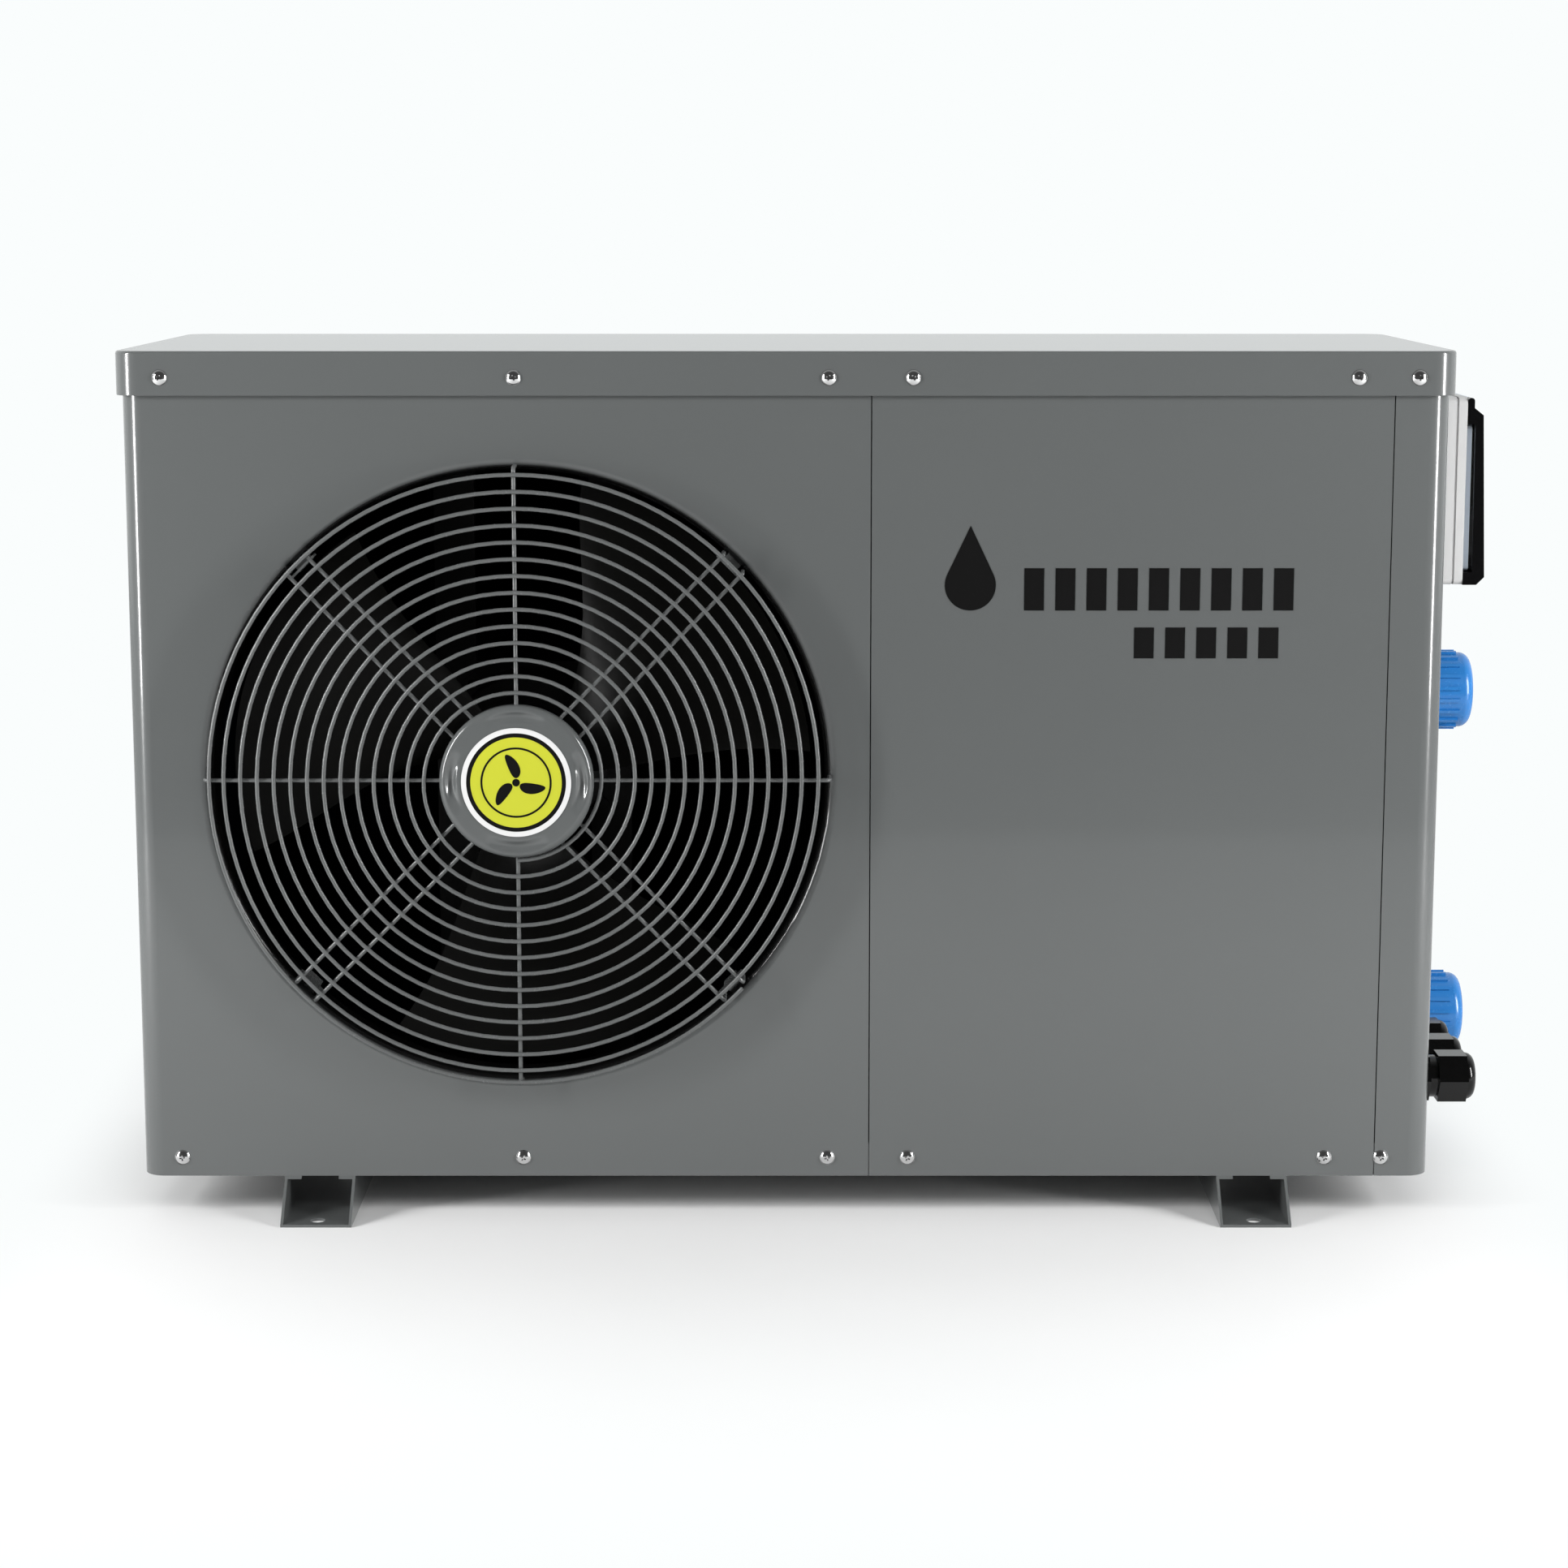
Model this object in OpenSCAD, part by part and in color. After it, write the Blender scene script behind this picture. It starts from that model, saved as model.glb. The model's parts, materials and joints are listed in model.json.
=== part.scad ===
// Pool heat pump: sheet-metal cabinet with an axial fan, an L-shaped evaporator,
// a compressor circuit, a water heat exchanger and a wall of side connections.
// X runs to the right, Y to the back and Z up. The origin is on the floor, in the
// middle of the four foot bolt holes.

/* [Cabinet] */
// Width of the cabinet walls
cabinet_w = 932; // [900:1:960]
// Depth of the cabinet walls
cabinet_d = 318; // [316:1:330]
// Overall height, feet included
total_h = 624; // [620:1:640]
// Thickness of the sheet steel
sheet_t = 1.2; // [1:0.1:1.5]
// Outer radius of the vertical corners
corner_r = 16; // [12:1:20]
// Width of the visible gap between two panels
seam_gap = 0.8; // [0.5:0.1:1.2]
// Seam between the fan panel and the service panel
seam_left_x = 60; // [55:1:65]
// Seam between the service panel and the right side panel
seam_right_x = 426; // [420:1:430]

/* [Lid] */
// How far the lid stands out past the walls
lid_overhang = 4; // [3:0.5:5]
// Height of the lid's skirt
lid_skirt_h = 31; // [28:1:34]

/* [Feet] */
// Height of the foot channels
foot_h = 30; // [30:1:34]
// Width of a foot channel
foot_w = 51; // [46:1:56]
// Distance from the middle to each foot channel
foot_x = 337.5; // [320:0.5:350]
// How far the foot's sole runs out past the cabinet
foot_reach = 30; // [28:1:34]
// Distance of the bolt hole from the cabinet face
foot_hole_out = 18.5; // [17:0.5:20]
// Radius of the foot bolt holes
foot_hole_r = 5.5; // [5:0.1:6]

/* [Fan] */
// Fan axis, from the middle of the cabinet
fan_x = -190; // [-200:1:-180]
// Height of the fan axis
fan_z = 323; // [315:1:330]
// Radius of the air outlet
outlet_r = 218; // [216:1:220]
// Radius of the rolled edge of the outlet
outlet_roll = 9; // [7:1:10]
// Radius of the fan at its blade tips
blade_tip_r = 208; // [200:1:210]
// Number of fan blades
blade_count = 3; // [3:1:4]

/* [Guard] */
// Diameter of the guard wire
wire_d = 3; // [2.5:0.5:3.5]
// Radial pitch of the spiral wire
spiral_pitch = 11.78; // [11.6:0.01:11.9]
// Radius at which the spiral starts
spiral_start_r = 57; // [56.5:0.5:57.5]
// Half turns of growing radius before the last turn
spiral_half_turns = 27; // [25:2:27]
// Radius of the last turn
spiral_end_r = 219; // [219:0.5:220]
// Distance from the cabinet face to the spiral wire
guard_stand_off = 18; // [16:1:20]
// Distance between the two wires of a diagonal pair
pair_gap = 18.8; // [16:0.1:20]
// Radius of the cap in the middle of the guard
cap_r = 54.6; // [53:0.1:55]

/* [Connections] */
// How far back the water unions are
union_y = 91; // [88:1:92]
// Heights of the lower and upper water unions
union_z = [95.6, 351.2];
// Radius of the pipe socket
socket_r = 16.15; // [16:0.05:16.3]
// Height of the cable glands
gland_z = 89.4; // [85:0.1:95]
// How far back each cable gland is
gland_y = [-99, -47, 5];
// Hole through a gland's seal
gland_hole_r = 7.5; // [6:0.1:8]

/* [Controller] */
// Width of the controller
controller_w = 120; // [116:1:124]
// Height of the controller
controller_h = 134.4; // [130:0.1:138]
// Height of the controller's lower edge
controller_z = 454.7; // [450:0.1:456]
// How far back the controller's middle is
controller_y = -49; // [-55:1:-45]

/* [Hidden] */
$fn = 48;

// Cabinet
face_y = cabinet_d / 2;
side_x = cabinet_w / 2;
lid_top_z = total_h;
wall_top_z = total_h - sheet_t;
wall_h = wall_top_z - foot_h;
flange = 14;
base_pan_h = 24;
half_seam = seam_gap / 2;
post_reach = 26;
front_wrap = 50;
rear_seam_x = 116;

// Screws: pan heads, cross recessed
screw_head_r = 5.5;
screw_head_h = 2.6;
screw_shank_r = 2;
screw_hole_r = 2.2;
screw_len = 11;
lid_screw_z = 605.6;
base_screw_z = 43.7;
front_lid_screw_x = [-437, -190, 30, 89, 400, 442];
front_base_screw_x = [-437, -190, 30, 88, 390, 431];
rear_screw_x = [-452, 150, 400, 441];
left_screw_y = [-121, 145];
right_lid_screw_y = [-42, 121];
right_base_screw_y = [-129, 121];

// Fan, along the fan axis (Y)
outlet_lip_y = -face_y + 32;
blade_near_y = -141;
blade_depth = 44;
fan_hub_r = 42;
hub_front_y = -144;
hub_back_y = -86;
shaft_r = 5;
motor_r = 59;
motor_front_y = -76;
motor_back_y = -2;
blade_stations = 9;
blade_steps = 8;

// Guard planes
spiral_y = -face_y - guard_stand_off;
spoke_y = spiral_y + wire_d;
cap_back_y = spoke_y - wire_d / 2;
cap_front_y = cap_back_y - 8;
spoke_leg_r = 221;
pair_leg_r = 216.4;
label_r = 38.8;

// Evaporator: one L-shaped plan path, from the left leg to the end of the back leg
coil_bottom_z = 36;
coil_top_z = 616;
coil_t = 38;
coil_bend_r = 41;
coil_bend_x = -400;
coil_bend_y = 92;
coil_left_len = 184;
coil_back_len = 496;
coil_bend_len = coil_bend_r * PI / 2;
coil_len = coil_left_len + coil_bend_len + coil_back_len;
fin_pitch = 6;
fin_t = 1.2;
tube_r = 4.75;
tube_rows = 12;
tube_pitch_z = 46;
first_tube_z = coil_bottom_z + 36;
tube_end_x = coil_bend_x + coil_back_len + 6;

// Compressor circuit
compressor_x = 215;
compressor_y = 20;
compressor_r = 62;
accumulator_x = 119;
bend_r = 14;
valve_z = 470;
exchanger_x = 358;
exchanger_r = 60;
exchanger_z = [52, 396];
port_r = 19;
port_bore_r = 15;
port_end_x = 463;
helix_r = 40;
helix_tube_r = 6;
helix_start_z = 118;
helix_pitch = 24;
helix_turns = 9;
helix_steps = 14;
helix_sides = 6;
expansion_x = 285;
expansion_y = coil_bend_y + coil_bend_r;
switch_x = 441;

// Water unions, along X
union_thread_x = 474;
union_thread_r = 21.8;
union_end_x = 497;
tail_step_x = 526;
rib_end_x = 521.3;
tail_end_x = 531.4;
nut_start_x = 488;
nut_end_x = 532.4;
nut_r = 29;
nut_rib_r = 30.9;

// Cable glands, along X
gland_nut_x = 480.3;
gland_end_x = 507.8;
gland_af = 34.5;
gland_bore_r = 10.5;

// Controller, along X
base_out_x = 478.8;
frame_in_x = 480.3;
frame_out_x = 486.5;
keypad_out_x = 491.5;
controller_top_z = controller_z + controller_h;
hinge_x = 489.1;
hinge_z = 586.2;
hinge_barrel_r = 2.4;
hinge_pin_r = 1;
knuckle_len = 14;
keypad_z0 = controller_z + 9.6;
keypad_z1 = controller_top_z - 20;
button_w = 20;
button_h = 12;
button_z = controller_z + 26;
button_pitch = 26;

// Electric tray and printed mark
tray_x = 82;
tray_w = 326;
tray_z = 396;
tray_h = 210;
tray_back_y = -96;
decal_x = 168;
decal_z = 468;

// ---------- helpers ----------

// Child's Z runs to the front, X to the right and Y up
module facing_front(x, y, z) {
    translate([x, y, z]) rotate([90, 0, 0]) children();
}

// Child's Z runs to the back and Y up
module facing_back(x, y, z) {
    translate([x, y, z]) rotate([90, 0, 180]) children();
}

// Child's Z runs to the right, X to the back and Y up
module facing_right(x, y, z) {
    translate([x, y, z]) rotate([90, 0, 90]) children();
}

// Child's Z runs to the left and Y up
module facing_left(x, y, z) {
    translate([x, y, z]) rotate([90, 0, -90]) children();
}

module rounded_rect(w, d, r) {
    square([w - 2 * r, d], center = true);
    square([w, d - 2 * r], center = true);
    for (sx = [-1, 1], sy = [-1, 1])
        translate([sx * (w / 2 - r), sy * (d / 2 - r)]) circle(r);
}

module rounded_plate(w, d, r, h) {
    linear_extrude(h) rounded_rect(w, d, r);
}

module ring(r_out, r_in, h) {
    difference() {
        cylinder(h = h, r = r_out);
        translate([0, 0, -1]) cylinder(h = h + 2, r = r_in);
    }
}

// Six-sided prism by its width across the flats, with flats facing up and down
module hex_prism(af, h) {
    cylinder(h = h, r = af / 2 / cos(30), $fn = 6);
}

// Wall ring of the cabinet, cut to a plan window
module wall_strip(x0, x1, y0, y1) {
    translate([0, 0, foot_h]) linear_extrude(wall_h) intersection() {
        difference() {
            rounded_rect(cabinet_w, cabinet_d, corner_r);
            rounded_rect(cabinet_w - 2 * sheet_t, cabinet_d - 2 * sheet_t, corner_r - sheet_t);
        }
        translate([x0, y0]) square([x1 - x0, y1 - y0]);
    }
}

// Flange that turns in from a front or back wall edge; side is -1 in front, 1 at the back
module edge_flange(x, side) {
    y0 = side < 0 ? -face_y : face_y - flange;
    z0 = foot_h + base_pan_h + 0.5;
    translate([x - sheet_t / 2, y0, z0]) cube([sheet_t, flange, wall_top_z - z0]);
}

// Flange that turns in along the top of a front or back wall
module top_flange(x0, x1, side) {
    y0 = side < 0 ? -face_y : face_y - flange;
    translate([x0, y0, wall_top_z - sheet_t]) cube([x1 - x0, flange, sheet_t]);
}

// Pan-head screw along Z, seated on the plane z = 0
module pan_screw() {
    dome_r = (screw_head_r * screw_head_r + screw_head_h * screw_head_h) / (2 * screw_head_h);
    difference() {
        intersection() {
            translate([0, 0, screw_head_h - dome_r]) sphere(dome_r);
            cylinder(h = screw_head_h, r = screw_head_r);
        }
        for (a = [0, 90])
            rotate(a) translate([-2.8, -0.6, screw_head_h - 1.6]) cube([5.6, 1.2, 3]);
    }
    translate([0, 0, -screw_len]) cylinder(h = screw_len + 0.01, r = screw_shank_r);
}

// Every place that a lid screw (lid = true) or a base screw goes, out by the given amount
module at_screws(lid, out) {
    z = lid ? lid_screw_z : base_screw_z;
    front_x = lid ? front_lid_screw_x : front_base_screw_x;
    right_y = lid ? right_lid_screw_y : right_base_screw_y;
    for (x = front_x) facing_front(x, -face_y - out, z) children();
    for (x = rear_screw_x) facing_back(x, face_y + out, z) children();
    for (y = left_screw_y) facing_left(-side_x - out, y, z) children();
    for (y = right_y) facing_right(side_x + out, y, z) children();
}

module screw_holes() {
    for (lid = [true, false])
        at_screws(lid, 8) translate([0, 0, -20]) cylinder(h = 22, r = screw_hole_r);
}

// Rotation whose local X, Y and Z are the given unit vectors, moved to a point
module oriented(p, ex, ey, ez) {
    multmatrix([
        [ex[0], ey[0], ez[0], p[0]],
        [ex[1], ey[1], ez[1], p[1]],
        [ex[2], ey[2], ez[2], p[2]],
        [0, 0, 0, 1]
    ]) children();
}

function unit(v) = v / norm(v);

// Round pipe along straight runs that meet at right angles, with bent corners
module pipe_path(points, r) {
    last = len(points) - 1;
    for (i = [0:last - 1]) {
        d = unit(points[i + 1] - points[i]);
        side = abs(d[2]) > 0.5 ? [1, 0, 0] : [0, 0, 1];
        from = points[i] + (i > 0 ? bend_r : 0) * d;
        to = points[i + 1] - (i < last - 1 ? bend_r : 0) * d;
        oriented(from, cross(side, d), side, d) cylinder(h = norm(to - from), r = r);
    }
    for (i = [1:last - 1]) {
        d_in = unit(points[i] - points[i - 1]);
        d_out = unit(points[i + 1] - points[i]);
        oriented(points[i] + bend_r * (d_out - d_in), -d_out, d_in, cross(-d_out, d_in))
            rotate_extrude(angle = 90) translate([bend_r, 0]) circle(r);
    }
}

// ---------- cabinet ----------

module base_pan() {
    w = cabinet_w - 2 * sheet_t - 0.2;
    d = cabinet_d - 2 * sheet_t - 0.2;
    r = corner_r - sheet_t - 0.1;
    color([0.42, 0.43, 0.43]) difference() {
        translate([0, 0, foot_h]) rounded_plate(w, d, r, base_pan_h);
        translate([0, 0, foot_h + sheet_t])
            rounded_plate(w - 2 * sheet_t, d - 2 * sheet_t, r - sheet_t, 30);
        screw_holes();
        translate([fan_x, 60, 0]) cylinder(h = 60, r = 9.2);
    }
}

module foot_channel() {
    wall = 2;
    lip = 10;
    length = cabinet_d + 2 * foot_reach;
    color([0.42, 0.43, 0.43]) difference() {
        translate([-foot_w / 2, -length / 2, 0]) cube([foot_w, length, foot_h]);
        translate([-foot_w / 2 + wall, -length, wall])
            cube([foot_w - 2 * wall, 2 * length, foot_h - 2 * wall]);
        translate([-foot_w / 2 + wall + lip, -length, wall])
            cube([foot_w - 2 * wall - 2 * lip, 2 * length, foot_h]);
        for (side = [0, 1])
            mirror([0, side, 0]) rotate([90, 0, 90])
                translate([0, 0, -foot_w]) linear_extrude(2 * foot_w)
                    polygon([
                        [-length / 2 - 1, wall],
                        [-length / 2, wall],
                        [-face_y, foot_h],
                        [-face_y, foot_h + 1],
                        [-length / 2 - 1, foot_h + 1]
                    ]);
        for (side = [-1, 1])
            translate([0, side * (face_y + foot_hole_out), -1])
                cylinder(h = wall + 2, r = foot_hole_r);
    }
}

module left_foot() {
    translate([-foot_x, 0, 0]) foot_channel();
}

module right_foot() {
    translate([foot_x, 0, 0]) foot_channel();
}

module front_fan_panel() {
    edge_x = seam_left_x - half_seam;
    corner_x = -side_x + corner_r;
    color([0.42, 0.43, 0.43]) {
        difference() {
            union() {
                wall_strip(-side_x - 1, edge_x, -face_y - 1, -face_y + front_wrap);
                edge_flange(edge_x - sheet_t / 2, -1);
                top_flange(corner_x, edge_x, -1);
            }
            facing_front(fan_x, -face_y + 20, fan_z)
                cylinder(h = 30, r = outlet_r + outlet_roll);
            screw_holes();
        }
        facing_front(fan_x, 0, fan_z) outlet_lip();
    }
}

// Rolled edge of the air outlet, turned about the fan axis; z is the distance in front
module outlet_lip() {
    roll_z = face_y - outlet_roll;
    lip_z = -outlet_lip_y;
    rotate_extrude() {
        intersection() {
            translate([outlet_r + outlet_roll, roll_z]) difference() {
                circle(outlet_roll);
                circle(outlet_roll - sheet_t);
            }
            translate([outlet_r, roll_z]) square(outlet_roll + 0.01);
        }
        translate([outlet_r, lip_z]) square([sheet_t, roll_z - lip_z]);
    }
}

module front_service_panel() {
    x0 = seam_left_x + half_seam;
    x1 = seam_right_x - half_seam;
    color([0.42, 0.43, 0.43]) difference() {
        union() {
            wall_strip(x0, x1, -face_y - 1, -face_y + flange);
            edge_flange(x0 + sheet_t / 2, -1);
            edge_flange(x1 - sheet_t / 2, -1);
            top_flange(x0, x1, -1);
        }
        screw_holes();
    }
}

module right_side_panel() {
    x0 = seam_right_x + half_seam;
    color([0.42, 0.43, 0.43]) difference() {
        union() {
            wall_strip(x0, side_x + 1, -face_y - 1, face_y + 1);
            edge_flange(x0 + sheet_t / 2, -1);
            edge_flange(x0 + sheet_t / 2, 1);
        }
        screw_holes();
        for (z = union_z)
            facing_right(side_x - 10, union_y, z) cylinder(h = 20, r = 20.6);
        for (y = gland_y)
            facing_right(side_x - 10, y, gland_z) cylinder(h = 20, r = 14.3);
        facing_right(side_x - 10, controller_y, controller_z + 60) cylinder(h = 20, r = 8);
    }
}

module rear_panel() {
    x0 = rear_seam_x + half_seam;
    x1 = seam_right_x - half_seam;
    slot_w = 60;
    slot_gap = 24;
    color([0.42, 0.43, 0.43]) difference() {
        union() {
            wall_strip(x0, x1, face_y - flange, face_y + 1);
            edge_flange(x0 + sheet_t / 2, 1);
            edge_flange(x1 - sheet_t / 2, 1);
            top_flange(x0, x1, 1);
        }
        screw_holes();
        for (col = [0:2], row = [0:4])
            translate([
                (x0 + x1) / 2 + (col - 1) * (slot_w + slot_gap) - slot_w / 2,
                face_y - 5,
                450 + row * 22
            ]) cube([slot_w, 10, 6]);
    }
}

module rear_corner_post() {
    color([0.42, 0.43, 0.43]) difference() {
        wall_strip(-side_x - 1, -side_x + post_reach, face_y - post_reach, face_y + 1);
        screw_holes();
    }
}

module top_lid() {
    w = cabinet_w + 2 * lid_overhang;
    d = cabinet_d + 2 * lid_overhang;
    r = corner_r + 2;
    color([0.42, 0.43, 0.43]) difference() {
        translate([0, 0, lid_top_z - lid_skirt_h]) rounded_plate(w, d, r, lid_skirt_h);
        translate([0, 0, lid_top_z - lid_skirt_h - 1])
            rounded_plate(w - 2 * sheet_t, d - 2 * sheet_t, r - sheet_t, lid_skirt_h + 1 - sheet_t);
        screw_holes();
    }
}

module lid_screws() {
    color([0.8, 0.8, 0.8]) at_screws(true, lid_overhang) pan_screw();
}

module panel_screws() {
    color([0.8, 0.8, 0.8]) at_screws(false, 0) pan_screw();
}

// ---------- fan guard ----------

// Arc of guard wire about a centre that is moved up from the fan axis
module wire_arc(radius, centre_up, start, sweep) {
    facing_front(fan_x, spiral_y, fan_z) translate([0, centre_up, 0]) rotate(start)
        rotate_extrude(angle = sweep) translate([radius, 0]) circle(wire_d / 2, $fn = 24);
}

// One wire: half circles about two centres make the spiral, then one round last turn
module fan_guard_spiral() {
    top_r = spiral_start_r + spiral_half_turns * spiral_pitch / 2;
    drop = (spiral_end_r - top_r) / 2;
    color([0.5, 0.51, 0.51]) {
        for (k = [0:spiral_half_turns - 1])
            wire_arc(
                spiral_start_r + spiral_pitch * (2 * k + 1) / 4,
                (k % 2 == 0 ? 1 : -1) * spiral_pitch / 4,
                k % 2 == 0 ? -90 : 90,
                180
            );
        wire_arc(top_r + drop, -drop, 90, 227);
    }
}

// Straight wire across the guard with both ends turned back to the cabinet
module spoke_wire(half_len, leg) {
    r = wire_d / 2;
    bend = 3;
    rotate([0, 90, 0]) translate([0, 0, -half_len + bend])
        cylinder(h = 2 * (half_len - bend), r = r, $fn = 24);
    for (side = [0, 1])
        mirror([side, 0, 0]) {
            translate([half_len - bend, 0, -bend]) rotate([90, 0, 0])
                rotate_extrude(angle = 90) translate([bend, 0]) circle(r, $fn = 24);
            translate([half_len, 0, -leg]) cylinder(h = leg - bend, r = r, $fn = 24);
        }
}

module fan_guard_spokes() {
    pair_half = sqrt(pair_leg_r * pair_leg_r - pair_gap * pair_gap / 4);
    color([0.5, 0.51, 0.51]) facing_front(fan_x, spoke_y, fan_z) {
        for (a = [0, 90]) rotate(a) spoke_wire(spoke_leg_r, 16.5);
        for (a = [45, 135], side = [-1, 1])
            rotate(a) translate([0, side * pair_gap / 2, 0]) spoke_wire(pair_half, 22);
    }
}

// Pressed clips that tie each diagonal pair to the rolled edge of the outlet
module fan_guard_clips() {
    strap_w = pair_gap + 5;
    color([0.45, 0.46, 0.46]) facing_front(fan_x, 0, fan_z)
        for (a = [45, 135, 225, 315]) rotate(a) {
            translate([pair_leg_r - 5, -strap_w / 2, face_y - 6])
                cube([1.6, strap_w, 12]);
            translate([pair_leg_r - 3.5, -6, face_y - 22]) cube([4.8, 12, 12]);
            translate([pair_leg_r - 5, -6, face_y - 22]) cube([1.6, 12, 17]);
        }
}

module fan_guard_cap() {
    shoulder = 5;
    depth = cap_back_y - cap_front_y;
    color([0.45, 0.46, 0.46]) facing_front(fan_x, cap_back_y, fan_z) difference() {
        rotate_extrude() {
            square([cap_r - shoulder, depth]);
            square([cap_r, depth - shoulder]);
            translate([cap_r - shoulder, depth - shoulder]) circle(shoulder);
        }
        translate([0, 0, -shoulder]) cylinder(h = shoulder, r = cap_r + 1);
        translate([0, 0, -1]) cylinder(h = depth - 0.5, r = cap_r - 1.5 - shoulder);
    }
}

module fan_guard_label() {
    color([0.87, 0.88, 0.2]) facing_front(fan_x, cap_front_y, fan_z)
        cylinder(h = 0.5, r = label_r);
}

// ---------- fan ----------

// Point on a blade: u runs from hub to tip, v across the chord, w is the thickness side
function blade_point(u, v, w) =
    let (
        r = fan_hub_r - 1.5 + u * (blade_tip_r - fan_hub_r + 1.5),
        span = 52 + 22 * sin(90 * u),
        a = 4 * u + v * span + 4 * sin(180 * u) * (1 - v),
        lift = 6 * sin(180 * v) * u,
        thick = 0.6 + 1.6 * sin(180 * min(max(v, 0.08), 0.92)),
        y = blade_near_y + blade_depth * (0.15 * u + (1 - 0.3 * u) * v) - lift + w * thick
    )
    [r * cos(a), r * sin(a), -y];

function blade_points() = [
    for (w = [1, -1], i = [0:blade_stations], j = [0:blade_steps])
        blade_point(i / blade_stations, j / blade_steps, w)
];

function blade_index(w, i, j) =
    w * (blade_stations + 1) * (blade_steps + 1) + i * (blade_steps + 1) + j;

function blade_faces() = concat(
    [for (i = [0:blade_stations - 1], j = [0:blade_steps - 1], h = [0, 1])
        h == 0
            ? [blade_index(0, i, j), blade_index(0, i + 1, j), blade_index(0, i, j + 1)]
            : [blade_index(0, i + 1, j), blade_index(0, i + 1, j + 1), blade_index(0, i, j + 1)]],
    [for (i = [0:blade_stations - 1], j = [0:blade_steps - 1], h = [0, 1])
        h == 0
            ? [blade_index(1, i, j), blade_index(1, i, j + 1), blade_index(1, i + 1, j)]
            : [blade_index(1, i + 1, j), blade_index(1, i, j + 1), blade_index(1, i + 1, j + 1)]],
    [for (i = [0:blade_stations - 1], side = [0, 1], h = [0, 1])
        let (j = side * blade_steps,
             a = blade_index(0, i, j), b = blade_index(0, i + 1, j),
             c = blade_index(1, i, j), d = blade_index(1, i + 1, j))
        side == 0
            ? (h == 0 ? [a, c, b] : [b, c, d])
            : (h == 0 ? [a, b, c] : [b, d, c])],
    [for (j = [0:blade_steps - 1], side = [0, 1], h = [0, 1])
        let (i = side * blade_stations,
             a = blade_index(0, i, j), b = blade_index(0, i, j + 1),
             c = blade_index(1, i, j), d = blade_index(1, i, j + 1))
        side == 0
            ? (h == 0 ? [a, b, c] : [b, d, c])
            : (h == 0 ? [a, c, b] : [b, c, d])]
);

module fan_blades() {
    color([0.09, 0.09, 0.09]) difference() {
        facing_front(fan_x, 0, fan_z) {
            translate([0, 0, -hub_back_y]) cylinder(h = hub_back_y - hub_front_y, r = fan_hub_r);
            for (k = [0:blade_count - 1])
                rotate(k * 360 / blade_count)
                    polyhedron(blade_points(), blade_faces());
        }
        facing_front(fan_x, hub_back_y + 1, fan_z)
            cylinder(h = hub_back_y - hub_front_y + 2, r = shaft_r + 0.02);
        facing_front(fan_x, hub_back_y + 1, fan_z) ring(fan_hub_r - 3, 14, 40);
    }
}

module fan_shaft() {
    color([0.7, 0.7, 0.72]) facing_front(fan_x, motor_back_y - 6, fan_z)
        cylinder(h = motor_back_y - 6 - hub_front_y + 12, r = shaft_r);
}

module fan_nut() {
    color([0.7, 0.7, 0.72]) facing_front(fan_x, hub_front_y, fan_z) difference() {
        union() {
            cylinder(h = 1.5, r = 9);
            translate([0, 0, 1.5]) hex_prism(15, 7);
        }
        translate([0, 0, -1]) cylinder(h = 12, r = shaft_r + 0.02);
    }
}

module fan_motor() {
    length = motor_back_y - motor_front_y;
    color([0.25, 0.25, 0.26]) difference() {
        facing_front(fan_x, motor_back_y, fan_z) {
            cylinder(h = length - 12, r = motor_r);
            translate([0, 0, length - 12]) cylinder(h = 8, r1 = motor_r, r2 = motor_r - 12);
            translate([0, 0, length - 4]) cylinder(h = 4, r = 20);
            for (a = [45:90:315])
                rotate(a) translate([motor_r - 4, -8, 0]) cube([16, 16, 5]);
        }
        facing_front(fan_x, motor_back_y - 4, fan_z) cylinder(h = length, r = shaft_r + 0.05);
        facing_front(fan_x, motor_back_y - 16, fan_z) cylinder(h = length - 34, r = 30);
        facing_front(fan_x, motor_back_y + 1, fan_z)
            for (a = [45:90:315])
                rotate(a) translate([motor_r + 6, 0, 0]) cylinder(h = 10, r = 3.2);
    }
}

// Two folded rails from the base pan to the lid, tied by a plate behind the motor
module fan_motor_bracket() {
    rail_x = 58;
    rail_w = 30;
    rail_d = 14;
    t = 1.5;
    top = wall_top_z - 1;
    color([0.6, 0.61, 0.62]) difference() {
        union() {
            for (side = [-1, 1])
                translate([fan_x + side * rail_x - rail_w / 2, motor_back_y, foot_h + sheet_t])
                    difference() {
                        cube([rail_w, rail_d, top - foot_h - sheet_t]);
                        translate([t, t, -1]) cube([rail_w - 2 * t, rail_d, top]);
                    }
            translate([fan_x - rail_x, motor_back_y, fan_z - 62]) cube([2 * rail_x, t, 124]);
        }
        facing_front(fan_x, 10, fan_z) {
            cylinder(h = 20, r = 14);
            for (a = [45:90:315])
                rotate(a) translate([motor_r + 6, 0, 0]) cylinder(h = 20, r = 3.2);
        }
    }
}

// ---------- evaporator ----------

// Point of the coil's plan: s along the middle line, t outwards from it
function coil_plan(s, t) =
    s < coil_left_len
        ? [coil_bend_x - coil_bend_r - t, coil_bend_y - coil_left_len + s]
    : s < coil_left_len + coil_bend_len
        ? let (a = 180 - 90 * (s - coil_left_len) / coil_bend_len)
          [coil_bend_x + (coil_bend_r + t) * cos(a), coil_bend_y + (coil_bend_r + t) * sin(a)]
    : [coil_bend_x + s - coil_left_len - coil_bend_len, coil_bend_y + coil_bend_r + t];

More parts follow.
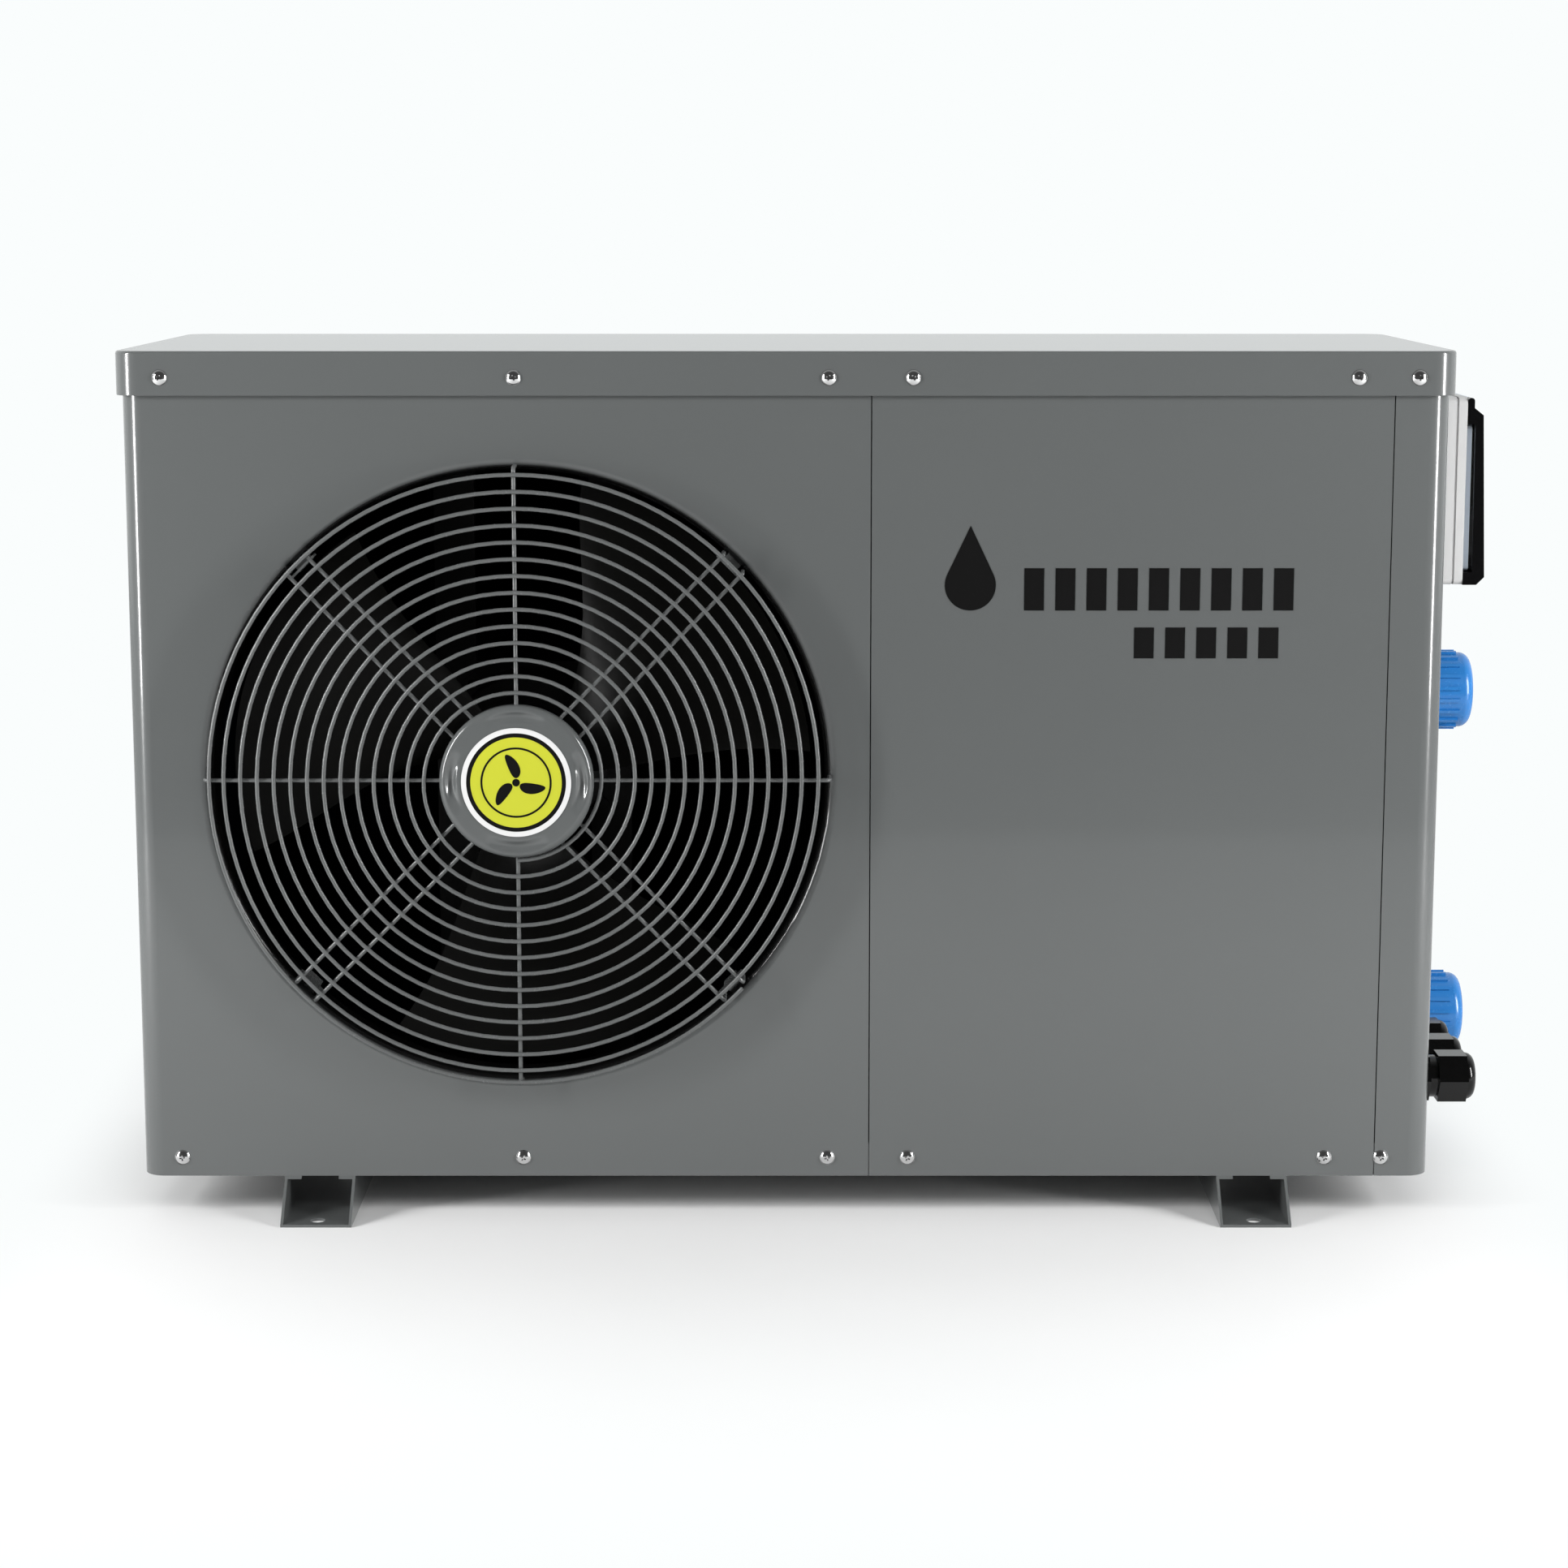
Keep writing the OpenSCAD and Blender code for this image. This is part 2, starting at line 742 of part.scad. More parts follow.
// Fins stand across the coil and share a thin web along its middle
module evaporator_fins() {
    count = floor((coil_len - 4) / fin_pitch);
    web = 0.6;
    half = coil_t / 2;
    outline = concat(
        [for (i = [0:count - 1], q = [0:3])
            let (s = 2 + i * fin_pitch + (q < 2 ? 0 : fin_t))
            coil_plan(s, q == 0 || q == 3 ? web : half)],
        [for (k = [0:count - 1], q = [0:3])
            let (i = count - 1 - k, s = 2 + i * fin_pitch + (q < 2 ? fin_t : 0))
            coil_plan(s, q == 0 || q == 3 ? -web : -half)]
    );
    color([0.62, 0.7, 0.78]) translate([0, 0, coil_bottom_z])
        linear_extrude(coil_top_z - coil_bottom_z) polygon(outline);
}

// Tube passes through the fins, joined at the ends by return bends
module evaporator_tubes() {
    start_y = coil_bend_y - coil_left_len - 6;
    left_x = coil_bend_x - coil_bend_r;
    back_y = coil_bend_y + coil_bend_r;
    bend = tube_pitch_z / 2;
    color([0.72, 0.43, 0.28])
        for (row = [0:tube_rows - 1]) translate([0, 0, first_tube_z + row * tube_pitch_z]) {
            translate([left_x, coil_bend_y, 0]) rotate([90, 0, 0])
                cylinder(h = coil_bend_y - start_y, r = tube_r);
            translate([coil_bend_x, back_y, 0]) rotate([0, 90, 0])
                cylinder(h = tube_end_x - coil_bend_x, r = tube_r);
            translate([coil_bend_x, coil_bend_y, 0]) rotate(90)
                rotate_extrude(angle = 90) translate([coil_bend_r, 0]) circle(tube_r);
            if (row < tube_rows - 1 && row % 2 == 0)
                translate([left_x, start_y, bend]) rotate([0, 90, 0]) rotate(180)
                    rotate_extrude(angle = 180) translate([bend, 0]) circle(tube_r);
            if (row < tube_rows - 1 && row % 2 == 1)
                translate([tube_end_x, back_y, bend]) rotate([90, 0, 0]) rotate(-90)
                    rotate_extrude(angle = 180) translate([bend, 0]) circle(tube_r);
        }
}

module evaporator_end_plates() {
    t = 1.5;
    h = coil_top_z - coil_bottom_z;
    color([0.7, 0.71, 0.72]) difference() {
        union() {
            translate([coil_bend_x + coil_back_len, coil_bend_y + coil_bend_r - coil_t / 2,
                coil_bottom_z]) cube([t, coil_t, h]);
            translate([coil_bend_x - coil_bend_r - coil_t / 2,
                coil_bend_y - coil_left_len - t, coil_bottom_z]) cube([coil_t, t, h]);
        }
        for (row = [0:tube_rows - 1]) translate([0, 0, first_tube_z + row * tube_pitch_z]) {
            translate([coil_bend_x + coil_back_len - 5, coil_bend_y + coil_bend_r, 0])
                rotate([0, 90, 0]) cylinder(h = 12, r = tube_r + 0.1);
            translate([coil_bend_x - coil_bend_r, coil_bend_y - coil_left_len + 5, 0])
                rotate([90, 0, 0]) cylinder(h = 12, r = tube_r + 0.1);
        }
    }
}

// Two flat wire meshes over the open left side and back, tucked behind the sheet edges
module coil_guard() {
    r = 1.1;
    z0 = foot_h + base_pan_h + 4;
    z1 = lid_screw_z - 4;
    back_y = face_y - sheet_t - 0.1 - r;
    left_x = -side_x + sheet_t + 0.1 + r;
    x0 = -side_x + corner_r;
    x1 = rear_seam_x - 1.2;
    y0 = -face_y + front_wrap + 1;
    y1 = face_y - corner_r;
    color([0.35, 0.36, 0.36]) {
        for (i = [0:21])
            translate([x0 + i * (x1 - x0 - r) / 21, back_y - 2 * r, z0])
                cylinder(h = z1 - z0, r = r, $fn = 16);
        for (i = [0:9])
            translate([left_x + 2 * r, y0 + r + i * (y1 - y0 - r) / 9, z0])
                cylinder(h = z1 - z0, r = r, $fn = 16);
        for (i = [0:11]) translate([0, 0, z0 + 4 + i * (z1 - z0 - 8) / 11]) {
            translate([x0, back_y, 0]) rotate([0, 90, 0]) cylinder(h = x1 - x0, r = r, $fn = 16);
            translate([left_x, y1, 0]) rotate([90, 0, 0]) cylinder(h = y1 - y0, r = r, $fn = 16);
        }
    }
}

// ---------- compressor circuit ----------

// Sheet between the fan chamber and the compressor chamber, from front seam to coil end
module partition_plate() {
    x_front = seam_left_x + 5;
    x_back = coil_bend_x + coil_back_len + 7;
    y_front = -face_y + flange + 2;
    y_back = coil_bend_y + coil_bend_r - coil_t / 2 - 4;
    color([0.62, 0.63, 0.64]) translate([0, 0, foot_h + sheet_t])
        linear_extrude(wall_top_z - foot_h - sheet_t - 3) polygon([
            [x_front, y_front],
            [x_front + sheet_t, y_front],
            [x_front + sheet_t, 30],
            [x_back, y_back],
            [x_back, y_back + 6],
            [x_back - sheet_t, y_back + 6],
            [x_back - sheet_t, y_back],
            [x_front, 30]
        ]);
}

module compressor() {
    body_h = 230;
    color([0.12, 0.12, 0.13]) translate([compressor_x, compressor_y, 0]) difference() {
        union() {
            translate([0, 0, 72]) cylinder(h = body_h, r = compressor_r);
            translate([0, 0, 62]) cylinder(h = 10, r1 = compressor_r - 14, r2 = compressor_r);
            translate([0, 0, 72 + body_h])
                cylinder(h = 12, r1 = compressor_r, r2 = compressor_r - 18);
            translate([0, 0, 72 + body_h]) cylinder(h = 26, r = 12);
            translate([28, -14, 72 + body_h]) cylinder(h = 24, r = 17);
            for (a = [90, 210, 330])
                rotate(a) translate([20, -17, 52]) cube([66, 34, 4]);
            translate([0, 0, 52]) cylinder(h = 10, r = compressor_r - 14);
        }
        for (a = [90, 210, 330])
            rotate(a) translate([74, 0, 50]) cylinder(h = 8, r = 6.2);
    }
}

// Rubber feet with their studs and nuts
module compressor_mounts() {
    color([0.08, 0.08, 0.08]) translate([compressor_x, compressor_y, foot_h + sheet_t])
        for (a = [90, 210, 330]) rotate(a) translate([74, 0, 0]) {
            cylinder(h = 20.6, r = 13);
            translate([0, 0, 20]) cylinder(h = 5, r = 6);
            translate([0, 0, 25]) cylinder(h = 2, r = 10);
            translate([0, 0, 27]) hex_prism(10, 5);
            cylinder(h = 38, r = 3);
        }
}

module accumulator() {
    color([0.12, 0.12, 0.13]) translate([accumulator_x, compressor_y, 0]) {
        translate([0, 0, 108]) cylinder(h = 144, r = 27);
        translate([0, 0, 98]) cylinder(h = 10, r1 = 12, r2 = 27);
        translate([0, 0, 252]) cylinder(h = 10, r1 = 27, r2 = 12);
        translate([0, -10, 170])
            cube([compressor_x - compressor_r - accumulator_x, 20, 20]);
    }
}

module refrigerant_pipes() {
    back_y = coil_bend_y + coil_bend_r;
    top_tube_z = first_tube_z + (tube_rows - 1) * tube_pitch_z;
    valve_bottom_z = valve_z - 14;
    color([0.72, 0.43, 0.28]) {
        // Compressor outlet to the top of the four-way valve
        pipe_path([
            [compressor_x, compressor_y, 328], [compressor_x, compressor_y, 516],
            [compressor_x, 95, 516], [compressor_x, 95, valve_z + 14]
        ], 4.75);
        // Valve to the accumulator, and on to the compressor
        pipe_path([
            [compressor_x, 95, valve_bottom_z], [compressor_x, 95, 402],
            [accumulator_x, 95, 402], [accumulator_x, compressor_y, 402],
            [accumulator_x, compressor_y, 262]
        ], 6.35);
        pipe_path([
            [accumulator_x, compressor_y, 98], [accumulator_x, compressor_y, 80],
            [compressor_x - compressor_r, compressor_y, 80]
        ], 6.35);
        // Valve to the evaporator
        pipe_path([
            [compressor_x - 25, 95, valve_bottom_z], [compressor_x - 25, 95, 428],
            [136, 95, 428], [136, back_y, 428], [136, back_y, top_tube_z],
            [tube_end_x, back_y, top_tube_z]
        ], 4.75);
        // Valve to the water heat exchanger
        pipe_path([
            [compressor_x + 25, 95, valve_bottom_z], [compressor_x + 25, 95, 430],
            [exchanger_x - 20, 95, 430], [exchanger_x - 20, 95, exchanger_z[1]]
        ], 4.75);
        // Heat exchanger to the expansion valve, and on to the evaporator
        pipe_path([
            [exchanger_x + 28, union_y, exchanger_z[1]], [exchanger_x + 28, union_y, 452],
            [exchanger_x + 28, expansion_y, 452], [expansion_x, expansion_y, 452],
            [expansion_x, expansion_y, 420]
        ], 4.75);
        pipe_path([
            [expansion_x, expansion_y, 372], [expansion_x, expansion_y, first_tube_z],
            [tube_end_x, expansion_y, first_tube_z]
        ], 4.75);
    }
}

module four_way_valve() {
    color([0.72, 0.58, 0.3]) translate([compressor_x, 95, valve_z]) {
        translate([-48, 0, 0]) rotate([0, 90, 0]) cylinder(h = 96, r = 14);
        for (x = [-53, 48]) translate([x, 0, 0]) rotate([0, 90, 0]) cylinder(h = 5, r = 11);
        translate([-18, -34, -10]) cube([36, 22, 24]);
    }
}

module expansion_valve() {
    color([0.72, 0.58, 0.3]) translate([expansion_x, expansion_y, 0]) {
        translate([0, 0, 372]) cylinder(h = 14, r = 8);
        translate([0, 0, 386]) cylinder(h = 34, r = 13);
    }
}

// Plastic shell of the water heat exchanger with its two side ports
module exchanger_shell() {
    wall = 4;
    cap_t = 6;
    z0 = exchanger_z[0];
    z1 = exchanger_z[1];
    color([0.16, 0.17, 0.18]) difference() {
        union() {
            translate([exchanger_x, union_y, z0]) cylinder(h = z1 - z0, r = exchanger_r);
            for (z = [z0, z1 - 22])
                translate([exchanger_x, union_y, z]) cylinder(h = 22, r = exchanger_r + 3);
            for (z = union_z)
                facing_right(exchanger_x, union_y, z) cylinder(h = port_end_x - exchanger_x, r = port_r);
            translate([exchanger_x - 40, union_y - 40, foot_h + sheet_t])
                cube([80, 80, z0 - foot_h - sheet_t + 1]);
        }
        translate([exchanger_x, union_y, z0 + cap_t])
            cylinder(h = z1 - z0 - 2 * cap_t, r = exchanger_r - wall);
        for (z = union_z)
            facing_right(exchanger_x, union_y, z) cylinder(h = 200, r = port_bore_r);
        paddle_slot();
    }
}

// Slot in the upper port for the flow switch's paddle
module paddle_slot() {
    translate([switch_x - 8, union_y - 8, union_z[1] + 5]) cube([16, 16, 20]);
}

// Points around the tube at step i of the helix
function coil_ring(i, r) =
    let (
        a = 360 * i / helix_steps,
        z = helix_start_z + i / helix_steps * helix_pitch
    )
    [for (k = [0:helix_sides - 1])
        let (b = 360 / helix_sides * k)
        [(helix_r + r * cos(b)) * cos(a), (helix_r + r * cos(b)) * sin(a), z + r * sin(b)]];

// Helix of refrigerant tube inside the water
module titanium_coil() {
    rings = helix_turns * helix_steps;
    sides = helix_sides;
    points = [for (i = [0:rings], p = coil_ring(i, helix_tube_r)) p];
    faces = concat(
        [for (i = [0:rings - 1], k = [0:sides - 1], h = [0, 1])
            let (
                a = i * sides + k,
                b = i * sides + (k + 1) % sides,
                c = a + sides,
                d = b + sides
            )
            h == 0 ? [a, b, c] : [b, d, c]],
        [[for (k = [0:sides - 1]) sides - 1 - k]],
        [[for (k = [0:sides - 1]) rings * sides + k]]
    );
    color([0.66, 0.65, 0.62]) translate([exchanger_x, union_y, 0]) polyhedron(points, faces);
}

module flow_switch() {
    z = union_z[1] + port_r;
    color([0.15, 0.15, 0.16]) translate([switch_x, union_y, 0]) difference() {
        union() {
            translate([-14, -14, z - 2]) cube([28, 28, 5]);
            translate([0, 0, z + 3]) cylinder(h = 24, r = 14);
        }
        translate([-8, -8, z - 6]) cube([16, 16, 28]);
        translate([-30, 0, union_z[1]]) rotate([0, 90, 0]) cylinder(h = 60, r = port_r + 0.02);
        translate([0, 12.5, z + 12]) rotate([90, 0, 0]) cylinder(h = 25, r = 1.6);
    }
}

module flow_paddle() {
    z = union_z[1] + port_r + 12;
    color([0.6, 0.6, 0.62]) translate([switch_x, union_y, 0]) {
        translate([0, 12, z]) rotate([90, 0, 0]) cylinder(h = 24, r = 1.55);
        translate([-0.6, -5, union_z[1] - 8]) cube([1.2, 10, z - union_z[1] + 8]);
        translate([0, 5, z]) rotate([90, 0, 0]) cylinder(h = 10, r = 3);
    }
}

// ---------- water unions ----------

// Threaded half of each union, glued to the exchanger's port
module union_bodies() {
    color([0.93, 0.93, 0.92]) for (z = union_z) facing_right(0, union_y, z) difference() {
        union() {
            translate([0, 0, port_end_x]) cylinder(h = union_end_x - port_end_x, r = 20);
            translate([0, 0, union_thread_x])
                cylinder(h = union_end_x - union_thread_x, r = union_thread_r);
        }
        translate([0, 0, 460]) cylinder(h = 50, r = port_bore_r);
        translate([0, 0, union_end_x - 2.8]) ring(20.2, 16.6, 5);
    }
}

module union_o_rings() {
    color([0.05, 0.05, 0.05]) for (z = union_z)
        facing_right(union_end_x - 1.55, union_y, z)
            rotate_extrude() translate([18.4, 0]) circle(1.25);
}

// Tail with the pipe socket, held by the nut
module union_tail(z) {
    color([0.93, 0.93, 0.92]) facing_right(0, union_y, z) difference() {
        union() {
            translate([0, 0, union_end_x + 0.3]) cylinder(h = tail_step_x - union_end_x + 0.3, r = 24.3);
            translate([0, 0, tail_step_x]) cylinder(h = tail_end_x - tail_step_x, r = 21);
        }
        translate([0, 0, 490]) cylinder(h = 50, r = 14);
        translate([0, 0, tail_end_x - 22]) cylinder(h = 30, r = socket_r);
    }
}

module union_nut(z) {
    shoulder = 8;
    length = nut_end_x - nut_start_x;
    rib_end = rib_end_x - nut_start_x;
    rib_count = 20;
    color([0.2, 0.46, 0.76]) facing_right(nut_start_x, union_y, z) difference() {
        union() {
            rotate_extrude() {
                square([nut_r - shoulder, length]);
                square([nut_r, length - shoulder]);
                translate([nut_r - shoulder, length - shoulder]) circle(shoulder);
            }
            for (k = [0:rib_count - 1])
                rotate((k + 0.5) * 360 / rib_count)
                    translate([nut_r - 1, -1.3, 0]) cube([nut_rib_r - nut_r + 1, 2.6, rib_end]);
        }
        translate([0, 0, -shoulder]) cylinder(h = 39 + shoulder, r = 24.8);
        translate([0, 0, 30]) cylinder(h = 30, r = 21.4);
    }
}

module lower_union_tail() {
    union_tail(union_z[0]);
}

module upper_union_tail() {
    union_tail(union_z[1]);
}

module lower_union_nut() {
    union_nut(union_z[0]);
}

module upper_union_nut() {
    union_nut(union_z[1]);
}

// ---------- cable glands ----------

module gland_bodies() {
    color([0.05, 0.05, 0.05]) for (y = gland_y) facing_right(side_x, y, gland_z) difference() {
        union() {
            ring(19.5, 14.2, 1.5);
            translate([0, 0, 1.5]) hex_prism(33, 6.5);
            translate([0, 0, 8]) cylinder(h = 5, r = 15.5);
            translate([0, 0, -16]) cylinder(h = 44, r = 14.2);
            translate([0, 0, -sheet_t - 6]) hex_prism(34, 6);
        }
        translate([0, 0, -20]) cylinder(h = 60, r = gland_bore_r);
    }
}

module gland_seals() {
    color([0.09, 0.09, 0.1]) for (y = gland_y) facing_right(side_x, y, gland_z) difference() {
        union() {
            translate([0, 0, 12]) cylinder(h = 21, r = gland_bore_r - 0.1);
            translate([0, 0, 28]) cylinder(h = 5.5, r = 13);
        }
        translate([0, 0, 0]) cylinder(h = 60, r = gland_hole_r);
    }
}

// Domed nut: a hexagon that runs into a rounded end
module gland_nut(y) {
    length = gland_end_x - gland_nut_x;
    shoulder = 6.5;
    color([0.05, 0.05, 0.05]) facing_right(gland_nut_x, y, gland_z) difference() {
        union() {
            hex_prism(gland_af, length - shoulder);
            rotate_extrude() {
                square([gland_af / 2 - shoulder, length]);
                square([gland_af / 2, length - shoulder]);
                translate([gland_af / 2 - shoulder, length - shoulder]) circle(shoulder);
            }
        }
        translate([0, 0, -1]) cylinder(h = 21, r = 14.6);
        translate([0, 0, 10]) cylinder(h = 20, r = gland_hole_r + 2);
    }
}

module front_gland_nut() {
    gland_nut(gland_y[0]);
}

module middle_gland_nut() {
    gland_nut(gland_y[1]);
}

module rear_gland_nut() {
    gland_nut(gland_y[2]);
}

// ---------- electrics ----------

// Folded tray that holds the electrics, open to the front
module electric_tray() {
    depth = 44;
    t = 1.2;
    color([0.66, 0.67, 0.68]) difference() {
        translate([tray_x, tray_back_y - depth, tray_z]) cube([tray_w, depth, tray_h]);
        translate([tray_x + t, tray_back_y - depth - 1, tray_z + t])
            cube([tray_w - 2 * t, depth + 1 - t, tray_h - 2 * t]);
    }
}

module circuit_board() {
    w = 150;
    h = 110;
    y = tray_back_y - 10;
    color([0.1, 0.36, 0.2]) {
        translate([tray_x + 20, y, tray_z + 80]) cube([w, 1.6, h]);
        for (x = [26, 20 + w - 6], z = [86, 80 + h - 6])
            facing_front(tray_x + x, y + 8.8, tray_z + z) cylinder(h = 7.2, r = 3);
        for (k = [0:3]) translate([tray_x + 28 + k * 34, y - 16, tray_z + 88]) cube([20, 16, 15]);
        translate([tray_x + 40, y - 22, tray_z + 140]) cube([38, 22, 34]);
        for (x = [100, 118]) facing_front(tray_x + x, y, tray_z + 156) cylinder(h = 20, r = 7);
    }
}

// Terminal block, contactor and run capacitor
module electric_parts() {
    back = tray_back_y - sheet_t;
    color([0.16, 0.16, 0.17]) {
        difference() {
            translate([tray_x + 30, back - 24, tray_z + 22]) cube([120, 24, 30]);
            for (k = [0:5])
                facing_front(tray_x + 40 + k * 20, back - 14, tray_z + 37)
                    cylinder(h = 12, r = 4.5);
        }
        translate([tray_x + 196, back - 34, tray_z + 120]) cube([46, 34, 60]);
        translate([tray_x + 202, back - 40, tray_z + 134]) cube([34, 6, 32]);
    }
    color([0.75, 0.76, 0.78]) {
        translate([tray_x + 284, back - 20.5, tray_z + 20]) cylinder(h = 96, r = 20);
        for (x = [-8, 8])
            translate([tray_x + 284 + x - 1, back - 24, tray_z + 115]) cube([2, 7, 14]);
    }
}

// ---------- controller ----------

// Rounded block on the right side wall, from x0 to x1, with its edges set in by a margin
module side_block(x0, x1, margin_side, z0, z1, r) {
    w = controller_w - 2 * margin_side;
    facing_right(x0, controller_y, (z0 + z1) / 2) rounded_plate(w, z1 - z0, r, x1 - x0);
}

module controller_base() {
    color([0.86, 0.86, 0.86]) difference() {
        union() {
            side_block(side_x, base_out_x, 0, controller_z, controller_top_z, 5);
            side_block(base_out_x - 1, frame_in_x, 1.2, controller_z + 1.2,
                controller_top_z - 1.2, 4);
        }
        side_block(side_x + 2, base_out_x - 1.5, 6, controller_z + 6, controller_top_z - 6, 3);
        facing_right(side_x - 2, controller_y, controller_z + 60) cylinder(h = 10, r = 8);
    }
}

// Places of the four buttons: index 0 is nearest the front
module at_button(i) {
    facing_right(0, controller_y + (i - 1.5) * button_pitch, button_z) children();
}

// White frame with the raised display and keypad block
module controller_frame() {
    window_z0 = controller_z + 48;
    knuckle_y = controller_w / 2 - knuckle_len - 0.4;
    color([0.86, 0.86, 0.86]) difference() {
        union() {
            side_block(frame_in_x, frame_out_x, 0, controller_z, controller_top_z, 5);
            side_block(frame_out_x - 1, keypad_out_x, 7, keypad_z0, keypad_z1, 3);
            facing_right(0, controller_y, 0)
                translate([-knuckle_y, hinge_z - hinge_barrel_r, frame_out_x - 1])
                    cube([2 * knuckle_y, 2 * hinge_barrel_r, hinge_x - frame_out_x + 1]);
            translate([hinge_x, controller_y + knuckle_y, hinge_z]) rotate([90, 0, 0])
                cylinder(h = 2 * knuckle_y, r = hinge_barrel_r);
        }
        translate([hinge_x, controller_y + 80, hinge_z]) rotate([90, 0, 0])
            cylinder(h = 160, r = hinge_pin_r + 0.05);
        side_block(keypad_out_x - 2.2, keypad_out_x + 1, 16, window_z0, keypad_z1 - 8, 2);
        for (i = [0:3])
            at_button(i) translate([0, 0, keypad_out_x - 4])
                rounded_plate(button_w + 0.8, button_h + 0.8, 2.4, 10);
    }
}

module display_window() {
    color([0.1, 0.14, 0.2])
        side_block(keypad_out_x - 2, keypad_out_x - 0.4, 16.3, controller_z + 48.3,
            keypad_z1 - 8.3, 1.8);
}

module button(i) {
    color([0.75, 0.77, 0.8]) at_button(i) translate([0, 0, keypad_out_x - 2.8])
        rounded_plate(button_w, button_h, 2, 3.2);
}

module power_button() {
    button(0);
}

module mode_button() {
    button(1);
}

module up_button() {
    button(2);
}

module down_button() {
    button(3);
}

// Dark lid over the keypad: C-shaped from the side, hinged on a moulded pin at its top
module controller_cover() {
    skin = 2;
    hinge_out_x = 491.5;
    inner_x = 492.3;
    top_x = 498;
    bottom_x = 502;
    chamfer = 5.6;
    z0 = controller_z;
    half_w = controller_w / 2;
    knuckle_y = half_w - knuckle_len;
    color([0.04, 0.04, 0.045]) difference() {
        union() {
            translate([0, controller_y + half_w, 0]) rotate([90, 0, 0])
                linear_extrude(controller_w) polygon([
                    [hinge_x - hinge_barrel_r, hinge_z],
                    [hinge_x + hinge_barrel_r, hinge_z],
                    [hinge_out_x, hinge_z - 4.8],
                    [top_x, hinge_z - 10],
                    [bottom_x, z0 + chamfer],
                    [bottom_x - chamfer, z0],
                    [frame_out_x + 0.2, z0],
                    [frame_out_x + 0.2, z0 + 9],
                    [inner_x + 0.8, z0 + 9],
                    [inner_x, controller_top_z - 19.2],
                    [frame_out_x + 0.2, controller_top_z - 19.2]
                ]);
            translate([hinge_x, controller_y + half_w, hinge_z]) rotate([90, 0, 0])
                cylinder(h = controller_w, r = hinge_barrel_r);
        }
        translate([frame_out_x - 2, controller_y - knuckle_y, hinge_z - hinge_barrel_r - 0.5])
            cube([hinge_out_x - frame_out_x + 3, 2 * knuckle_y, 10]);
        translate([0, controller_y + half_w - skin, 0]) rotate([90, 0, 0])
            linear_extrude(controller_w - 2 * skin) polygon([
                [inner_x - 2, keypad_z0 + 4],
                [bottom_x - skin, keypad_z0 + 4],
                [top_x - skin + 0.1, keypad_z1 - 4],
                [inner_x - 2, keypad_z1 - 4]
            ]);
    }
    color([0.04, 0.04, 0.045]) translate([hinge_x, controller_y + half_w - 2, hinge_z])
        rotate([90, 0, 0]) cylinder(h = controller_w - 4, r = hinge_pin_r);
}

// ---------- labels and drain ----------

// Thin printed mark: a drop beside plain level bars
module front_decal() {
    t = 0.25;
    color([0.02, 0.02, 0.02]) facing_front(0, -face_y, 0) linear_extrude(t) {
        translate([decal_x - 38, decal_z - 8]) {
            circle(18);
            polygon([[-16.6, 7], [0, 42], [16.6, 7]]);
        }
        for (k = [0:8]) translate([decal_x + 22 * k, decal_z - 26]) square([14, 30]);
        for (k = [0:4]) translate([decal_x + 78 + 22 * k, decal_z - 60]) square([14, 22]);
    }
}

module drain_spigot() {
    color([0.2, 0.2, 0.2]) translate([fan_x, 60, 0]) difference() {
        union() {
            translate([0, 0, 10]) cylinder(h = foot_h - 10, r = 8);
            translate([0, 0, foot_h - 3]) cylinder(h = 3, r = 12);
            translate([0, 0, foot_h - 1]) cylinder(h = 4, r = 9);
        }
        translate([0, 0, 5]) cylinder(h = 40, r = 6);
    }
}

base_pan();
left_foot();
right_foot();
front_fan_panel();
front_service_panel();
right_side_panel();
rear_panel();
rear_corner_post();
top_lid();
lid_screws();
panel_screws();
fan_guard_spiral();
fan_guard_spokes();
fan_guard_clips();
fan_guard_cap();
fan_guard_label();
fan_blades();
fan_shaft();
fan_nut();
fan_motor();
fan_motor_bracket();
evaporator_fins();
evaporator_tubes();
evaporator_end_plates();
coil_guard();
partition_plate();
compressor();
compressor_mounts();
accumulator();
refrigerant_pipes();
four_way_valve();
expansion_valve();
exchanger_shell();
titanium_coil();
flow_switch();
flow_paddle();
union_bodies();
union_o_rings();
lower_union_tail();
upper_union_tail();
lower_union_nut();
upper_union_nut();
gland_bodies();
gland_seals();
front_gland_nut();
middle_gland_nut();
rear_gland_nut();
electric_tray();
circuit_board();
electric_parts();
controller_base();
controller_frame();
controller_cover();
display_window();
power_button();
mode_button();
up_button();
down_button();
front_decal();
drain_spigot();
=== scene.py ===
"""Visual model of a pool heat pump unit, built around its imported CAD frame.

Everything is in metres, in the frame's own axes: X right, Y back, Z up, floor at z = 0.
Pieces are built from the frame's boxes and from the few sizes named below.
"""
import json
import math

